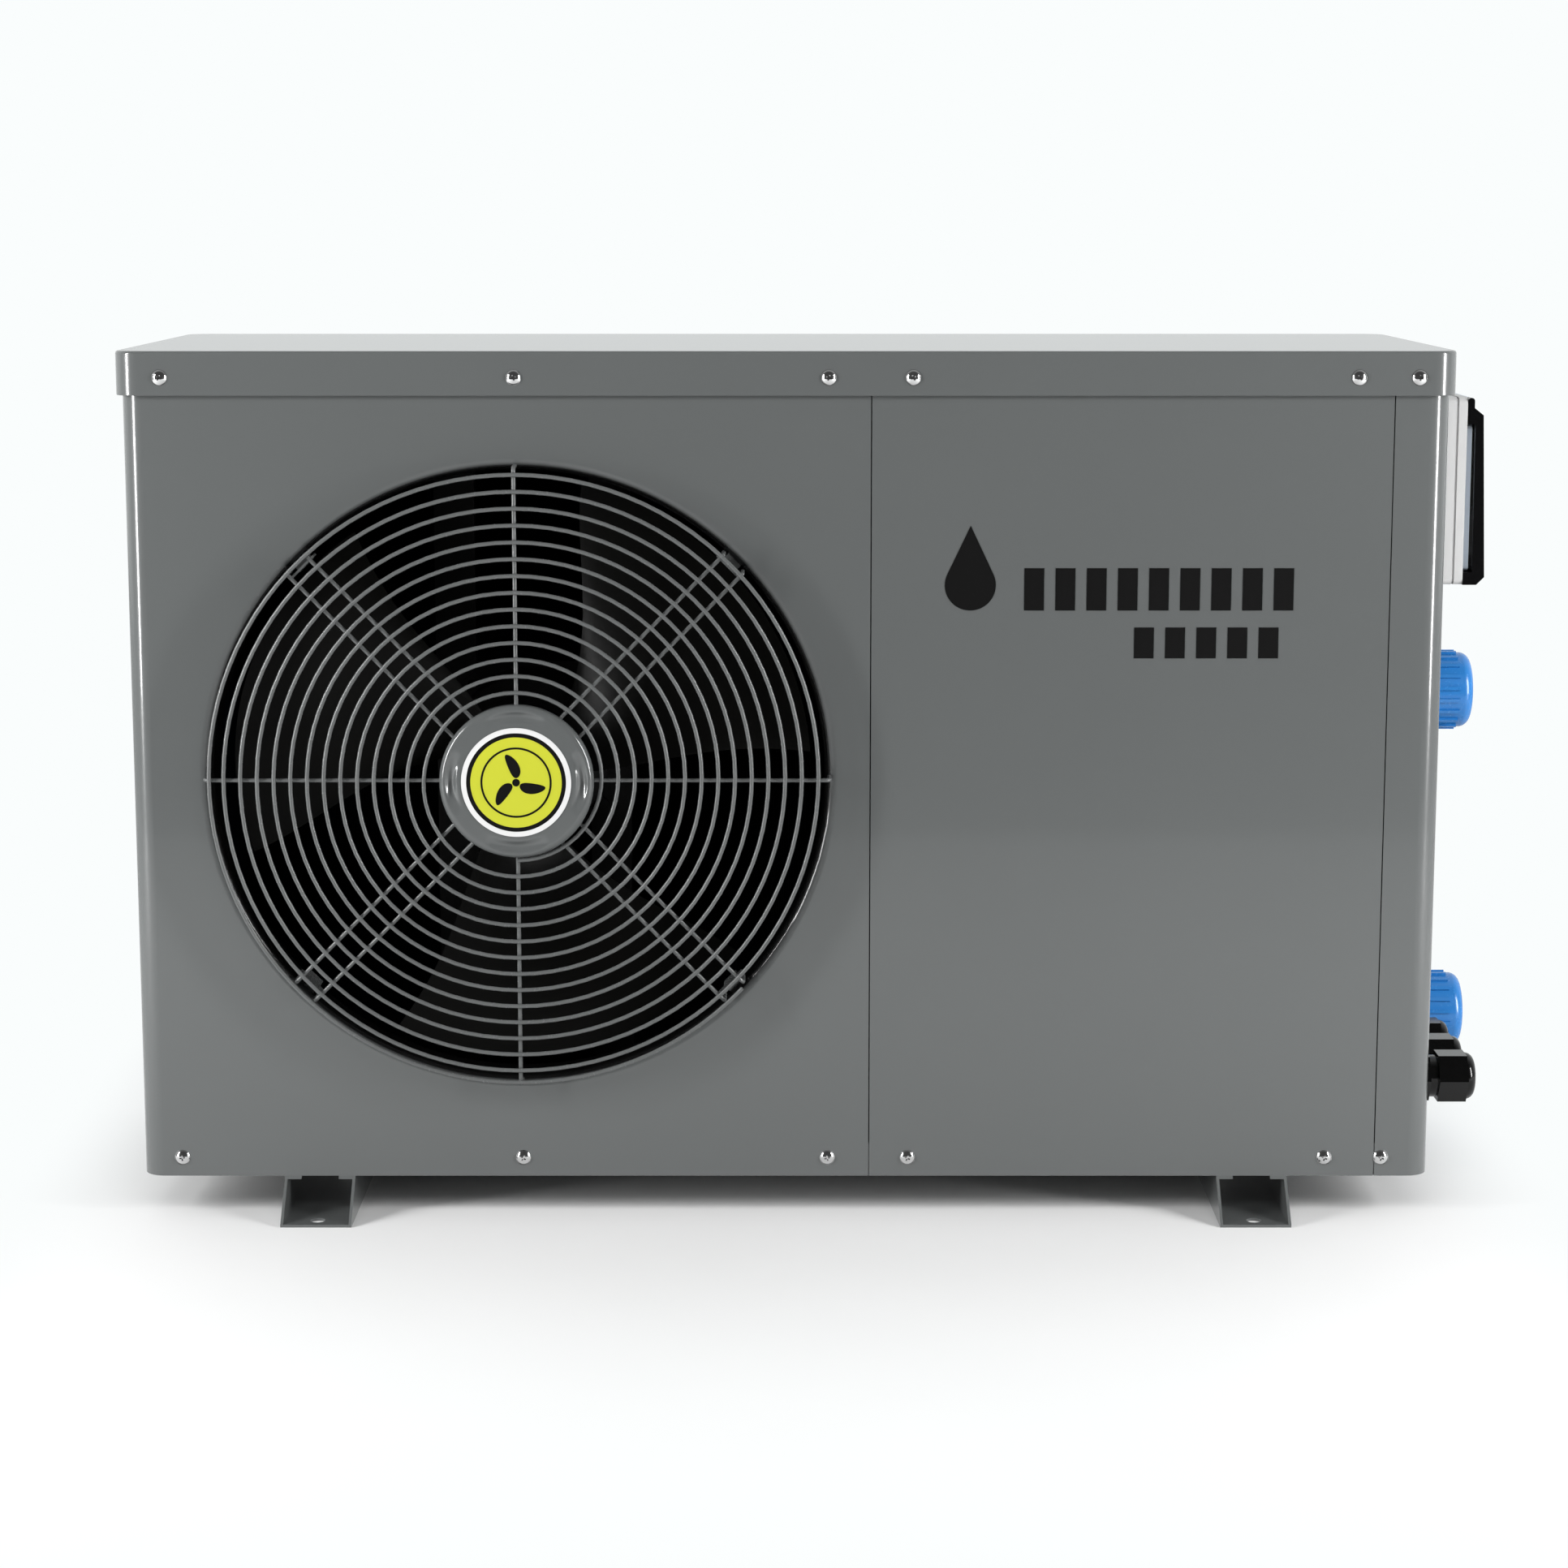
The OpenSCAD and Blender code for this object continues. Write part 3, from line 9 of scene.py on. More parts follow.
import bmesh
import bpy
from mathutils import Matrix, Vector


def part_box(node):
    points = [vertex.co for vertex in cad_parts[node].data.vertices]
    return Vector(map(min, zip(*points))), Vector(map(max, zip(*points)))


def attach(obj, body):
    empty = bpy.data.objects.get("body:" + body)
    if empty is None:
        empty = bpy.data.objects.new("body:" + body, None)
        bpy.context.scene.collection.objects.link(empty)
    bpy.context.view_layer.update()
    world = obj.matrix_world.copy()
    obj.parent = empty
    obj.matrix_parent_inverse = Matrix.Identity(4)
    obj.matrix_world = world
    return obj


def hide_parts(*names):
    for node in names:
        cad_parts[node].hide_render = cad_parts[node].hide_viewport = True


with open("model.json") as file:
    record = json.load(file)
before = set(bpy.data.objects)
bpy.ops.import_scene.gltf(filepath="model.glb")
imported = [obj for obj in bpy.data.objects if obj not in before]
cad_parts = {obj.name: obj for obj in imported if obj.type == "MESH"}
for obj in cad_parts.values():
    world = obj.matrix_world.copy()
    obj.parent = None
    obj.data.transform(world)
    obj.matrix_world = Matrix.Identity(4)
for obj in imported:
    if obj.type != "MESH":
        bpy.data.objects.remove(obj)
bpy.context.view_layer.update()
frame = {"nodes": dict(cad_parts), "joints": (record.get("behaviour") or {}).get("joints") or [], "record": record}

MM = 0.001
NODES = frame["nodes"]


# ---------- places taken from the frame ----------

def joint_place(name):
    """Point on the axis of a joint."""
    joint = next(j for j in frame["joints"] if j["name"] == name)
    return Vector(joint["pos_m"])


def solid_boxes(node):
    """Lowest and highest corner of each separate solid in a CAD node's mesh."""
    mesh = NODES[node].data
    place = {}
    parent = []

    def root(i):
        while parent[i] != i:
            parent[i] = parent[parent[i]]
            i = parent[i]
        return i

    index_of = []
    for vertex in mesh.vertices:
        key = tuple(round(c, 6) for c in vertex.co)
        if key not in place:
            place[key] = len(parent)
            parent.append(len(parent))
        index_of.append(place[key])
    for edge in mesh.edges:
        a, b = (root(index_of[v]) for v in edge.vertices)
        parent[a] = b
    boxes = {}
    for vertex, index in zip(mesh.vertices, index_of):
        low, high = boxes.setdefault(root(index), (vertex.co.copy(), vertex.co.copy()))
        for axis in range(3):
            low[axis] = min(low[axis], vertex.co[axis])
            high[axis] = max(high[axis], vertex.co[axis])
    return sorted(boxes.values(), key=lambda box: tuple(round(c, 5) for c in box[0]))


FAN = joint_place("fan_spin")
FACE_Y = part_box("front_service_panel")[0].y
OUTLET_R = 228 * MM


# ---------- materials ----------

def new_material(name):
    """Empty node material with its Principled shader."""
    material = bpy.data.materials.new(name)
    material.use_nodes = True
    shader = material.node_tree.nodes["Principled BSDF"]
    return material, material.node_tree, shader


def add_noise(tree, scale, detail=4.0, roughness=0.55, stretch=(1, 1, 1)):
    """Noise in the object's own coordinates; returns its value socket."""
    coords = tree.nodes.new("ShaderNodeTexCoord")
    mapping = tree.nodes.new("ShaderNodeMapping")
    mapping.inputs["Scale"].default_value = stretch
    noise = tree.nodes.new("ShaderNodeTexNoise")
    noise.inputs["Scale"].default_value = scale
    noise.inputs["Detail"].default_value = detail
    noise.inputs["Roughness"].default_value = roughness
    tree.links.new(coords.outputs["Object"], mapping.inputs["Vector"])
    tree.links.new(mapping.outputs["Vector"], noise.inputs["Vector"])
    return noise.outputs["Fac"]


def add_ramp(tree, value, stops):
    """Colour ramp over a value; stops are (place, colour)."""
    ramp = tree.nodes.new("ShaderNodeValToRGB")
    elements = ramp.color_ramp.elements
    while len(elements) < len(stops):
        elements.new(0.5)
    for element, (place, colour) in zip(elements, stops):
        element.position = place
        element.color = (*colour, 1.0)
    tree.links.new(value, ramp.inputs["Fac"])
    return ramp.outputs["Color"]


def add_range(tree, value, low, high):
    """Value from 0..1 stretched to low..high."""
    spread = tree.nodes.new("ShaderNodeMapRange")
    spread.inputs["To Min"].default_value = low
    spread.inputs["To Max"].default_value = high
    tree.links.new(value, spread.inputs["Value"])
    return spread.outputs["Result"]


def shade(colour, factor):
    """A colour made darker or lighter."""
    return tuple(min(1.0, c * factor) for c in colour)


def finish_material(
    name, colour, rough, metallic=0.0, coat=0.0, spread=0.06, grain=700.0, bump=0.02,
    cloud=7.0, stretch=(1, 1, 1), rough_spread=0.05, specular=0.5, coat_rough=0.1,
):
    """Surface with cloudy colour, uneven gloss and a fine grain in its relief."""
    material, tree, shader = new_material(name)
    links = tree.links
    clouds = add_noise(tree, cloud, detail=6.0)
    stops = [(0.3, shade(colour, 1 - spread)), (0.7, shade(colour, 1 + spread))]
    links.new(add_ramp(tree, clouds, stops), shader.inputs["Base Color"])
    fine = add_noise(tree, grain, detail=3.0, stretch=stretch)
    gloss = add_range(tree, fine, rough - rough_spread, rough + rough_spread)
    links.new(gloss, shader.inputs["Roughness"])
    relief = tree.nodes.new("ShaderNodeBump")
    relief.inputs["Strength"].default_value = bump
    relief.inputs["Distance"].default_value = 0.0004
    links.new(fine, relief.inputs["Height"])
    links.new(relief.outputs["Normal"], shader.inputs["Normal"])
    shader.inputs["Metallic"].default_value = metallic
    shader.inputs["Coat Weight"].default_value = coat
    shader.inputs["Coat Roughness"].default_value = coat_rough
    shader.inputs["Specular IOR Level"].default_value = specular
    return material


CABINET_GREY = (0.088, 0.093, 0.093)
CABINET_ROUGH = 0.22
CABINET_FINISH = {
    "spread": 0.02, "grain": 900.0, "bump": 0.004, "cloud": 3.0, "rough_spread": 0.03,
    "coat": 0.35, "coat_rough": 0.05, "specular": 0.4,
}

MATERIALS = {
    "cabinet_grey": finish_material(
        "powder_coat_grey", CABINET_GREY, CABINET_ROUGH, **CABINET_FINISH
    ),
    "guard_grey": finish_material(
        "guard_paint", (0.088, 0.092, 0.092), 0.26, spread=0.05, grain=500.0, bump=0.06,
        cloud=20.0,
    ),
    "cap_grey": finish_material(
        "cap_paint", (0.085, 0.09, 0.09), 0.16, spread=0.03, grain=900.0, bump=0.03,
    ),
    "label_yellow": finish_material(
        "label_yellow", (0.42, 0.44, 0.018), 0.42, spread=0.015, grain=1200.0, bump=0.02,
    ),
    "label_white": finish_material(
        "label_white", (0.58, 0.58, 0.58), 0.4, spread=0.01, grain=1200.0, bump=0.02,
    ),
    "screw_zinc": finish_material(
        "bright_zinc", (0.62, 0.62, 0.62), 0.12, metallic=1.0, spread=0.06, grain=1500.0,
        bump=0.03, cloud=60.0,
    ),
    # Black plastic made darker than the real blades, partly their own colour and partly painted shade for the dark
    # inside behind the guard
    "fan_black": finish_material(
        "fan_black_plastic_and_painted_shade", (0.0022, 0.0022, 0.002), 0.3, spread=0.12, grain=600.0, bump=0.06,
        cloud=12.0, specular=0.06,
    ),
    "bright_steel": finish_material(
        "turned_steel", (0.56, 0.57, 0.58), 0.28, metallic=1.0, grain=900.0, bump=0.05,
        stretch=(1, 12, 1),
    ),
    # Black enamel made darker than real, partly the motor's own colour and partly painted shade for the dark
    # inside of the cabinet
    "motor_black": finish_material(
        "motor_enamel_and_painted_shade", (0.003, 0.003, 0.003), 0.45, spread=0.1, grain=500.0, bump=0.1,
        specular=0.15,
    ),
    "galvanised": finish_material(
        "galvanised_sheet", (0.50, 0.52, 0.54), 0.38, metallic=0.9, spread=0.16, grain=300.0,
        bump=0.05, cloud=45.0, rough_spread=0.1,
    ),
    # Fins kept near-black with almost no gloss, as painted shade for the dark inside of the cabinet
    "fin_dark": finish_material(
        "fins_with_painted_shade", (0.004, 0.006, 0.009), 0.6, spread=0.12, grain=400.0,
        bump=0.1, cloud=15.0, specular=0.05,
    ),
    "copper": finish_material(
        "drawn_copper", (0.78, 0.36, 0.20), 0.3, metallic=1.0, spread=0.18, grain=300.0,
        bump=0.08, cloud=35.0, rough_spread=0.12,
    ),
    "valve_brass": finish_material(
        "forged_brass", (0.70, 0.50, 0.22), 0.34, metallic=1.0, spread=0.12, grain=350.0,
        bump=0.15, cloud=30.0,
    ),
    "wire_black": finish_material(
        "dipped_wire", (0.035, 0.036, 0.036), 0.4, spread=0.1, grain=350.0, bump=0.2,
    ),
    "compressor_black": finish_material(
        "gloss_enamel", (0.018, 0.018, 0.019), 0.2, coat=0.4, spread=0.1, grain=250.0, bump=0.08,
    ),
    "rubber_black": finish_material(
        "moulded_rubber", (0.022, 0.022, 0.022), 0.7, spread=0.15, grain=600.0, bump=0.2,
        specular=0.3,
    ),
    "shell_black": finish_material(
        "dark_pvc", (0.03, 0.032, 0.035), 0.4, spread=0.1, grain=500.0, bump=0.08,
    ),
    "titanium": finish_material(
        "titanium_tube", (0.48, 0.46, 0.43), 0.32, metallic=1.0, spread=0.12, grain=400.0,
        bump=0.1,
    ),
    "pvc_white": finish_material(
        "white_pvc", (0.80, 0.80, 0.77), 0.3, spread=0.02, grain=500.0, bump=0.04,
    ),
    "union_blue": finish_material(
        "blue_abs", (0.018, 0.15, 0.42), 0.26, spread=0.05, grain=500.0, bump=0.05, cloud=14.0,
    ),
    "gland_black": finish_material(
        "black_nylon", (0.0015, 0.0015, 0.0015), 0.16, spread=0.1, grain=500.0, bump=0.04,
        specular=0.3,
    ),
    "board_green": finish_material(
        "solder_mask", (0.015, 0.16, 0.06), 0.25, spread=0.12, grain=400.0, bump=0.15,
        cloud=90.0,
    ),
    "electric_dark": finish_material(
        "phenolic", (0.04, 0.04, 0.043), 0.4, spread=0.1, grain=500.0, bump=0.08,
    ),
    "controller_white": finish_material(
        "white_abs", (0.46, 0.46, 0.46), 0.4, spread=0.015, grain=1200.0, bump=0.05,
    ),
    "display_glass": finish_material(
        "smoked_window", (0.07, 0.085, 0.105), 0.12, spread=0.05, grain=200.0, bump=0.01,
        rough_spread=0.02,
    ),
    "button_grey": finish_material(
        "silicone_keys", (0.42, 0.47, 0.55), 0.55, spread=0.04, grain=900.0, bump=0.08,
    ),
    "cover_black": finish_material(
        "black_cover", (0.002, 0.002, 0.0022), 0.2, spread=0.1, grain=900.0, bump=0.02,
        specular=0.25,
    ),
    "decal_black": finish_material(
        "decal_ink", (0.003, 0.003, 0.003), 0.5, spread=0.1, grain=900.0, bump=0.03,
        specular=0.1,
    ),
}


def second_colour(material, factor, stops):
    """Lets a second mottled colour take over where the factor is 1."""
    tree = material.node_tree
    blend = tree.nodes.new("ShaderNodeMix")
    blend.data_type = "RGBA"
    target = tree.nodes["Principled BSDF"].inputs["Base Color"]
    first = target.links[0].from_socket
    second = add_ramp(tree, add_noise(tree, 40.0), stops)
    tree.links.new(factor, blend.inputs["Factor"])
    tree.links.new(first, blend.inputs[6])
    tree.links.new(second, blend.inputs[7])
    tree.links.new(blend.outputs[2], target)


def ramp_between(tree, source, start, end):
    """0 up to the start and 1 from the end of a range of the source."""
    node = tree.nodes.new("ShaderNodeMapRange")
    node.inputs["From Min"].default_value = start
    node.inputs["From Max"].default_value = end
    tree.links.new(source, node.inputs["Value"])
    return node.outputs["Result"]


def frame_material():
    """White frame whose raised keypad block is blue grey."""
    material = finish_material(
        "frame_and_keypad", (0.46, 0.46, 0.46), 0.4, spread=0.015, grain=1200.0, bump=0.05
    )
    tree = material.node_tree
    block_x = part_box("controller_cover")[0].x + 0.4 * MM
    coords = tree.nodes.new("ShaderNodeTexCoord")
    split = tree.nodes.new("ShaderNodeSeparateXYZ")
    tree.links.new(coords.outputs["Object"], split.inputs["Vector"])
    side = ramp_between(tree, split.outputs["X"], block_x, block_x + 0.1 * MM)
    second_colour(material, side, [(0.3, (0.60, 0.68, 0.78)), (0.7, (0.63, 0.71, 0.81))])
    return material


def outlet_material_with_painted_shade():
    """Cabinet finish whose rolled outlet turns black inside the opening, as painted shade for the shadow in the
    recess behind the face.
    """
    material = finish_material("outlet_grey_painted_shade", CABINET_GREY, CABINET_ROUGH, **CABINET_FINISH)
    tree = material.node_tree
    coords = tree.nodes.new("ShaderNodeTexCoord")
    split = tree.nodes.new("ShaderNodeSeparateXYZ")
    tree.links.new(coords.outputs["Object"], split.inputs["Vector"])
    depth = ramp_between(tree, split.outputs["Y"], FACE_Y + 0.6 * MM, FACE_Y + 2.2 * MM)
    flat = tree.nodes.new("ShaderNodeVectorMath")
    flat.operation = "MULTIPLY_ADD"
    flat.inputs[1].default_value = (1, 0, 1)
    flat.inputs[2].default_value = (-FAN.x, 0, -FAN.z)
    reach = tree.nodes.new("ShaderNodeVectorMath")
    reach.operation = "LENGTH"
    tree.links.new(coords.outputs["Object"], flat.inputs[0])
    tree.links.new(flat.outputs["Vector"], reach.inputs[0])
    inside = ramp_between(tree, reach.outputs["Value"], OUTLET_R + 0.5 * MM, OUTLET_R)
    both = tree.nodes.new("ShaderNodeMath")
    both.operation = "MULTIPLY"
    tree.links.new(depth, both.inputs[0])
    tree.links.new(inside, both.inputs[1])
    # Painted shade: near-black colour behind the face and within the outlet radius, standing in for the shadow
    # inside the opening
    black = [(0.3, (0.002, 0.002, 0.002)), (0.7, (0.003, 0.003, 0.003))]
    second_colour(material, both.outputs["Value"], black)
    return material


MATERIALS["frame_and_keypad"] = frame_material()
MATERIALS["outlet_grey_painted_shade"] = outlet_material_with_painted_shade()
SLOT_OF = {p["node"]: p["material_slot"] for p in frame["record"]["subparts"]}


def paint(thing, slot):
    """Gives an object one material, by the record's slot."""
    thing.data.materials.clear()
    thing.data.materials.append(MATERIALS[slot])
    return thing


for node_name, node in NODES.items():
    paint(node, SLOT_OF[node_name])
paint(NODES["controller_frame"], "frame_and_keypad")
# The front panel carries painted shade inside its outlet
paint(NODES["front_fan_panel"], "outlet_grey_painted_shade")


# ---------- smooth shading for the carried-over CAD nodes ----------

def smooth_group():
    """Node group that welds a mesh and shades it smooth, with edges sharp past 30 degrees."""
    group = bpy.data.node_groups.new("smooth_by_angle", "GeometryNodeTree")
    group.interface.new_socket("Geometry", in_out="INPUT", socket_type="NodeSocketGeometry")
    group.interface.new_socket("Geometry", in_out="OUTPUT", socket_type="NodeSocketGeometry")
    nodes, links = group.nodes, group.links
    start = nodes.new("NodeGroupInput")
    end = nodes.new("NodeGroupOutput")
    weld = nodes.new("GeometryNodeMergeByDistance")
    weld.inputs["Distance"].default_value = 2e-6
    faces = nodes.new("GeometryNodeSetShadeSmooth")
    angle = nodes.new("GeometryNodeInputMeshEdgeAngle")
    sharp = nodes.new("FunctionNodeCompare")
    sharp.data_type = "FLOAT"
    sharp.operation = "GREATER_THAN"
    sharp.inputs["B"].default_value = math.radians(30)
    edges = nodes.new("GeometryNodeSetShadeSmooth")
    edges.domain = "EDGE"
    edges.inputs["Shade Smooth"].default_value = False
    links.new(start.outputs[0], weld.inputs["Geometry"])
    links.new(weld.outputs["Geometry"], faces.inputs["Geometry"])
    links.new(faces.outputs["Geometry"], edges.inputs["Geometry"])
    links.new(angle.outputs["Unsigned Angle"], sharp.inputs["A"])
    links.new(sharp.outputs["Result"], edges.inputs["Selection"])
    links.new(edges.outputs["Geometry"], end.inputs[0])
    return group


def weigh_normals(thing):
    """Keeps large flat faces flat beside rounded edges."""
    weighted = thing.modifiers.new("flat_faces_first", "WEIGHTED_NORMAL")
    weighted.keep_sharp = True
    weighted.weight = 100


SMOOTH = smooth_group()

for node in NODES.values():
    node.modifiers.new("smooth", "NODES").node_group = SMOOTH
    weigh_normals(node)


# ---------- mesh helpers ----------

def add_piece(name, shape, body, slot, replaced=(), sharp=35.0):
    """Object from a bmesh that rides on a body and has one of the record's finishes."""
    bmesh.ops.recalc_face_normals(shape, faces=shape.faces)
    mesh = bpy.data.meshes.new(name)
    shape.to_mesh(mesh)
    shape.free()
    for polygon in mesh.polygons:
        polygon.use_smooth = True
    mesh.set_sharp_from_angle(angle=math.radians(sharp))
    piece = bpy.data.objects.new(name, mesh)
    bpy.context.scene.collection.objects.link(piece)
    paint(piece, slot)
    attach(piece, body)
    if replaced:
        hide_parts(*replaced)
    return piece


def skin(shape, a, b):
    """Faces between two closed rings of vertices."""
    count = len(a)
    for k in range(count):
        shape.faces.new((a[k], a[(k + 1) % count], b[(k + 1) % count], b[k]))


def add_tube(shape, points, radius, sides=10):
    """Round wire through a list of points, closed at both ends."""
    rings = []
    across = None
    last = len(points) - 1
    for i, point in enumerate(points):
        along = (points[min(i + 1, last)] - points[max(i - 1, 0)]).normalized()
        if across is None:
            across = along.orthogonal()
        across = (across - along * across.dot(along)).normalized()
        up = along.cross(across)
        turns = [math.tau * k / sides for k in range(sides)]
        rings.append([
            shape.verts.new(point + radius * (math.cos(t) * across + math.sin(t) * up))
            for t in turns
        ])
    for a, b in zip(rings, rings[1:]):
        skin(shape, a, b)
    shape.faces.new(rings[0])
    shape.faces.new(rings[-1])


def add_lathe(shape, centre, axis, profile, steps=64, closed=False):
    """Solid turned about an axis; the profile is (radius, place along the axis)."""
    axis = axis.normalized()
    across = axis.orthogonal().normalized()
    up = axis.cross(across)
    rings = []
    for radius, along in profile:
        turns = [math.tau * k / steps for k in range(steps)]
        rings.append([
            shape.verts.new(
                centre + along * axis + radius * (math.cos(t) * across + math.sin(t) * up)
            )
            for t in turns
        ])
    for a, b in zip(rings, rings[1:]):
        skin(shape, a, b)
    if closed:
        skin(shape, rings[-1], rings[0])
    else:
        shape.faces.new(rings[0])
        shape.faces.new(rings[-1])


def add_ball(shape, centre, radius, squash=1.0):
    """Small ball, flattened along Y."""
    made = bmesh.ops.create_uvsphere(shape, u_segments=8, v_segments=6, radius=radius)
    for vertex in made["verts"]:
        vertex.co = centre + Vector((vertex.co.x, vertex.co.y * squash, vertex.co.z))


def arc(radius, start, end, steps):
    """Points (x, y) of an arc, by degrees."""
    turns = [math.radians(start + (end - start) * k / steps) for k in range(steps + 1)]
    return [(radius * math.cos(t), radius * math.sin(t)) for t in turns]


def on_fan(x, z, y):
    """Point beside the fan axis: x to the right, z up, y in the frame."""
    return Vector((FAN.x + x, y, FAN.z + z))


# ---------- fan guard ----------

SPIRAL_LOW, SPIRAL_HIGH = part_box("fan_guard_spiral")
SPOKE_LOW, SPOKE_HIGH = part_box("fan_guard_spokes")
WIRE_R = (SPIRAL_HIGH.y - SPIRAL_LOW.y) / 2
SPIRAL_Y = SPIRAL_LOW.y + WIRE_R
SPOKE_Y = SPOKE_LOW.y + WIRE_R
SPIRAL_PITCH = 11.78 * MM
SPIRAL_START_R = 57 * MM
SPIRAL_END_R = 219 * MM
SPIRAL_HALF_TURNS = 27
PAIR_GAP = 18.8 * MM
PAIR_LEG_R = 216.4 * MM
SPOKE_BEND = 3 * MM


def spiral_points():
    """Half circles about two centres, then one round last turn, as (x, z) on the fan."""
    points = []
    quarter = SPIRAL_PITCH / 4
    for k in range(SPIRAL_HALF_TURNS):
        up, start = (quarter, -90) if k % 2 == 0 else (-quarter, 90)
        radius = SPIRAL_START_R + quarter * (2 * k + 1)
        steps = 24 + k
        half = arc(radius, start, start + 180, steps)
        points += [(x, z + up) for x, z in half[:-1]]
    top_r = SPIRAL_START_R + 2 * SPIRAL_HALF_TURNS * quarter
    drop = (SPIRAL_END_R - top_r) / 2
    points += [(x, z - drop) for x, z in arc(top_r + drop, 90, 317, 64)]
    return points


def spokes():
    """Each straight wire as (angle in degrees, offset to its side, half length, leg)."""
    reach = SPOKE_HIGH.x - FAN.x - WIRE_R
    short_leg = 16.5 * MM
    long_leg = SPOKE_HIGH.y - SPOKE_Y
    pair_half = math.sqrt(PAIR_LEG_R ** 2 - PAIR_GAP ** 2 / 4)
    crossed = [(angle, 0.0, reach, short_leg) for angle in (0, 90)]
    paired = [
        (angle, side * PAIR_GAP / 2, pair_half, long_leg)
        for angle in (45, 135) for side in (-1, 1)
    ]
    return crossed + paired


def spoke_path(angle, offset, half, leg):
    """Wire across the guard with both ends bent back to the cabinet."""
    bend = [(half - SPOKE_BEND + x, SPOKE_BEND - z) for x, z in arc(SPOKE_BEND, 0, 90, 5)]
    right = [(half, leg), *bend]
    flat = [*right, *[(-u, back) for u, back in reversed(right)]]
    turn = math.radians(angle)
    along = Vector((math.cos(turn), 0, math.sin(turn)))
    aside = Vector((-math.sin(turn), 0, math.cos(turn)))
    centre = on_fan(0, 0, SPOKE_Y)
    return [centre + u * along + offset * aside + Vector((0, back, 0)) for u, back in flat]


def weld_places(points):
    """Where the straight wires cross the spiral, as (x, z) on the fan."""
    places = []
    for angle, offset, half, _ in spokes():
        turn = math.radians(angle)
        along = Vector((math.cos(turn), math.sin(turn)))
        aside = Vector((-math.sin(turn), math.cos(turn)))
        for a, b in zip(points, points[1:]):
            first, second = Vector(a), Vector(b)
            d_a, d_b = first.dot(aside) - offset, second.dot(aside) - offset
            if d_a * d_b > 0 or d_a == d_b:
                continue
            cross = first.lerp(second, d_a / (d_a - d_b))
            if abs(cross.dot(along)) < half + WIRE_R:
                places.append(cross)
    return places


def build_guard():
    """Spiral wire, and the straight wires welded behind it."""
    flat = spiral_points()
    shape = bmesh.new()
    add_tube(shape, [on_fan(x, z, SPIRAL_Y) for x, z in flat], WIRE_R, sides=12)
    add_piece("guard_spiral", shape, "cabinet", "guard_grey", ["fan_guard_spiral"])
    shape = bmesh.new()
    for spoke in spokes():
        add_tube(shape, spoke_path(*spoke), WIRE_R, sides=12)
    weld_y = (SPIRAL_Y + SPOKE_Y) / 2
    for place in weld_places(flat):
        add_ball(shape, on_fan(place.x, place.y, weld_y), WIRE_R * 1.15, squash=0.75)
    add_piece("guard_spokes", shape, "cabinet", "guard_grey", ["fan_guard_spokes"])


def smooth_bump(value, half_width):
    """1 in the middle, falling smoothly to 0 at the half width."""
    if abs(value) >= half_width:
        return 0.0
    return (0.5 + 0.5 * math.cos(math.pi * value / half_width)) ** 0.6


def build_cap():
    """Domed cap with four crescents pressed into it around its label."""
    low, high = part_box("fan_guard_cap")
    cap_r = (high.x - low.x) / 2
    depth = high.y - low.y
    shoulder = 5 * MM
    sheet = 1.2 * MM
    crescent_depth = 3 * MM
    crescent_half = 4.6 * MM
    crescent_angle = 27
    label_low, label_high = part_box("fan_guard_label")
    seat_r = (label_high.x - label_low.x) / 2
    field_r = seat_r + 1.2 * MM
    steps = 144
    rows = 14
    flat = [seat_r * 0.6, seat_r, field_r]
    flat += [field_r + k * (cap_r - shoulder - field_r) / rows for k in range(1, rows + 1)]
    front = [(radius, 0.0) for radius in flat]
    front += [
        (cap_r - shoulder + x, shoulder - z) for x, z in reversed(arc(shoulder, 0, 82, 8))
    ]
    front += [(cap_r, depth)]
    shape = bmesh.new()
    crescent_r = seat_r + 7.6 * MM

    def ring_at(radius, back_in, pressed):
        ring = []
        for k in range(steps):
            turn = math.tau * k / steps
            quarter = (math.degrees(turn) + 45) % 90 - 45
            press = smooth_bump(quarter, crescent_angle)
            press *= smooth_bump(radius - crescent_r, crescent_half)
            y = low.y + back_in + (crescent_depth * press if pressed else 0.0)
            x, z = radius * math.cos(turn), radius * math.sin(turn)
            ring.append(shape.verts.new(on_fan(x, z, y)))
        return ring

    outer = [ring_at(radius, y, True) for radius, y in front]
    shape.faces.new(outer[0])
    for a, b in zip(outer, outer[1:]):
        skin(shape, a, b)
    inner_end = ring_at(cap_r - sheet, depth, False)
    skin(shape, outer[-1], inner_end)
    hollow = [
        ring_at(cap_r - sheet, shoulder, False), ring_at(cap_r - shoulder, 4.4 * MM, False)
    ]
    skin(shape, inner_end, hollow[0])
    skin(shape, hollow[0], hollow[1])
    shape.faces.new(hollow[1])
    add_piece("guard_cap", shape, "cabinet", "cap_grey", ["fan_guard_cap"], sharp=50.0)


def add_plate(shape, outline, y_back, y_front):
    """Flat shape beside the fan axis, as thick as the gap between two planes."""
    back = [shape.verts.new(on_fan(x, z, y_back)) for x, z in outline]
    front = [shape.verts.new(on_fan(x, z, y_front)) for x, z in outline]
    skin(shape, back, front)
    shape.faces.new(back)
    shape.faces.new(front)


def add_band(shape, r_out, r_in, y_back, y_front, steps=128):
    """Flat ring about the fan axis."""
    profile = [(r_out, y_back), (r_out, y_front), (r_in, y_front), (r_in, y_back)]
    centre = Vector((FAN.x, 0, FAN.z))
    add_lathe(shape, centre, Vector((0, 1, 0)), profile, steps, closed=True)


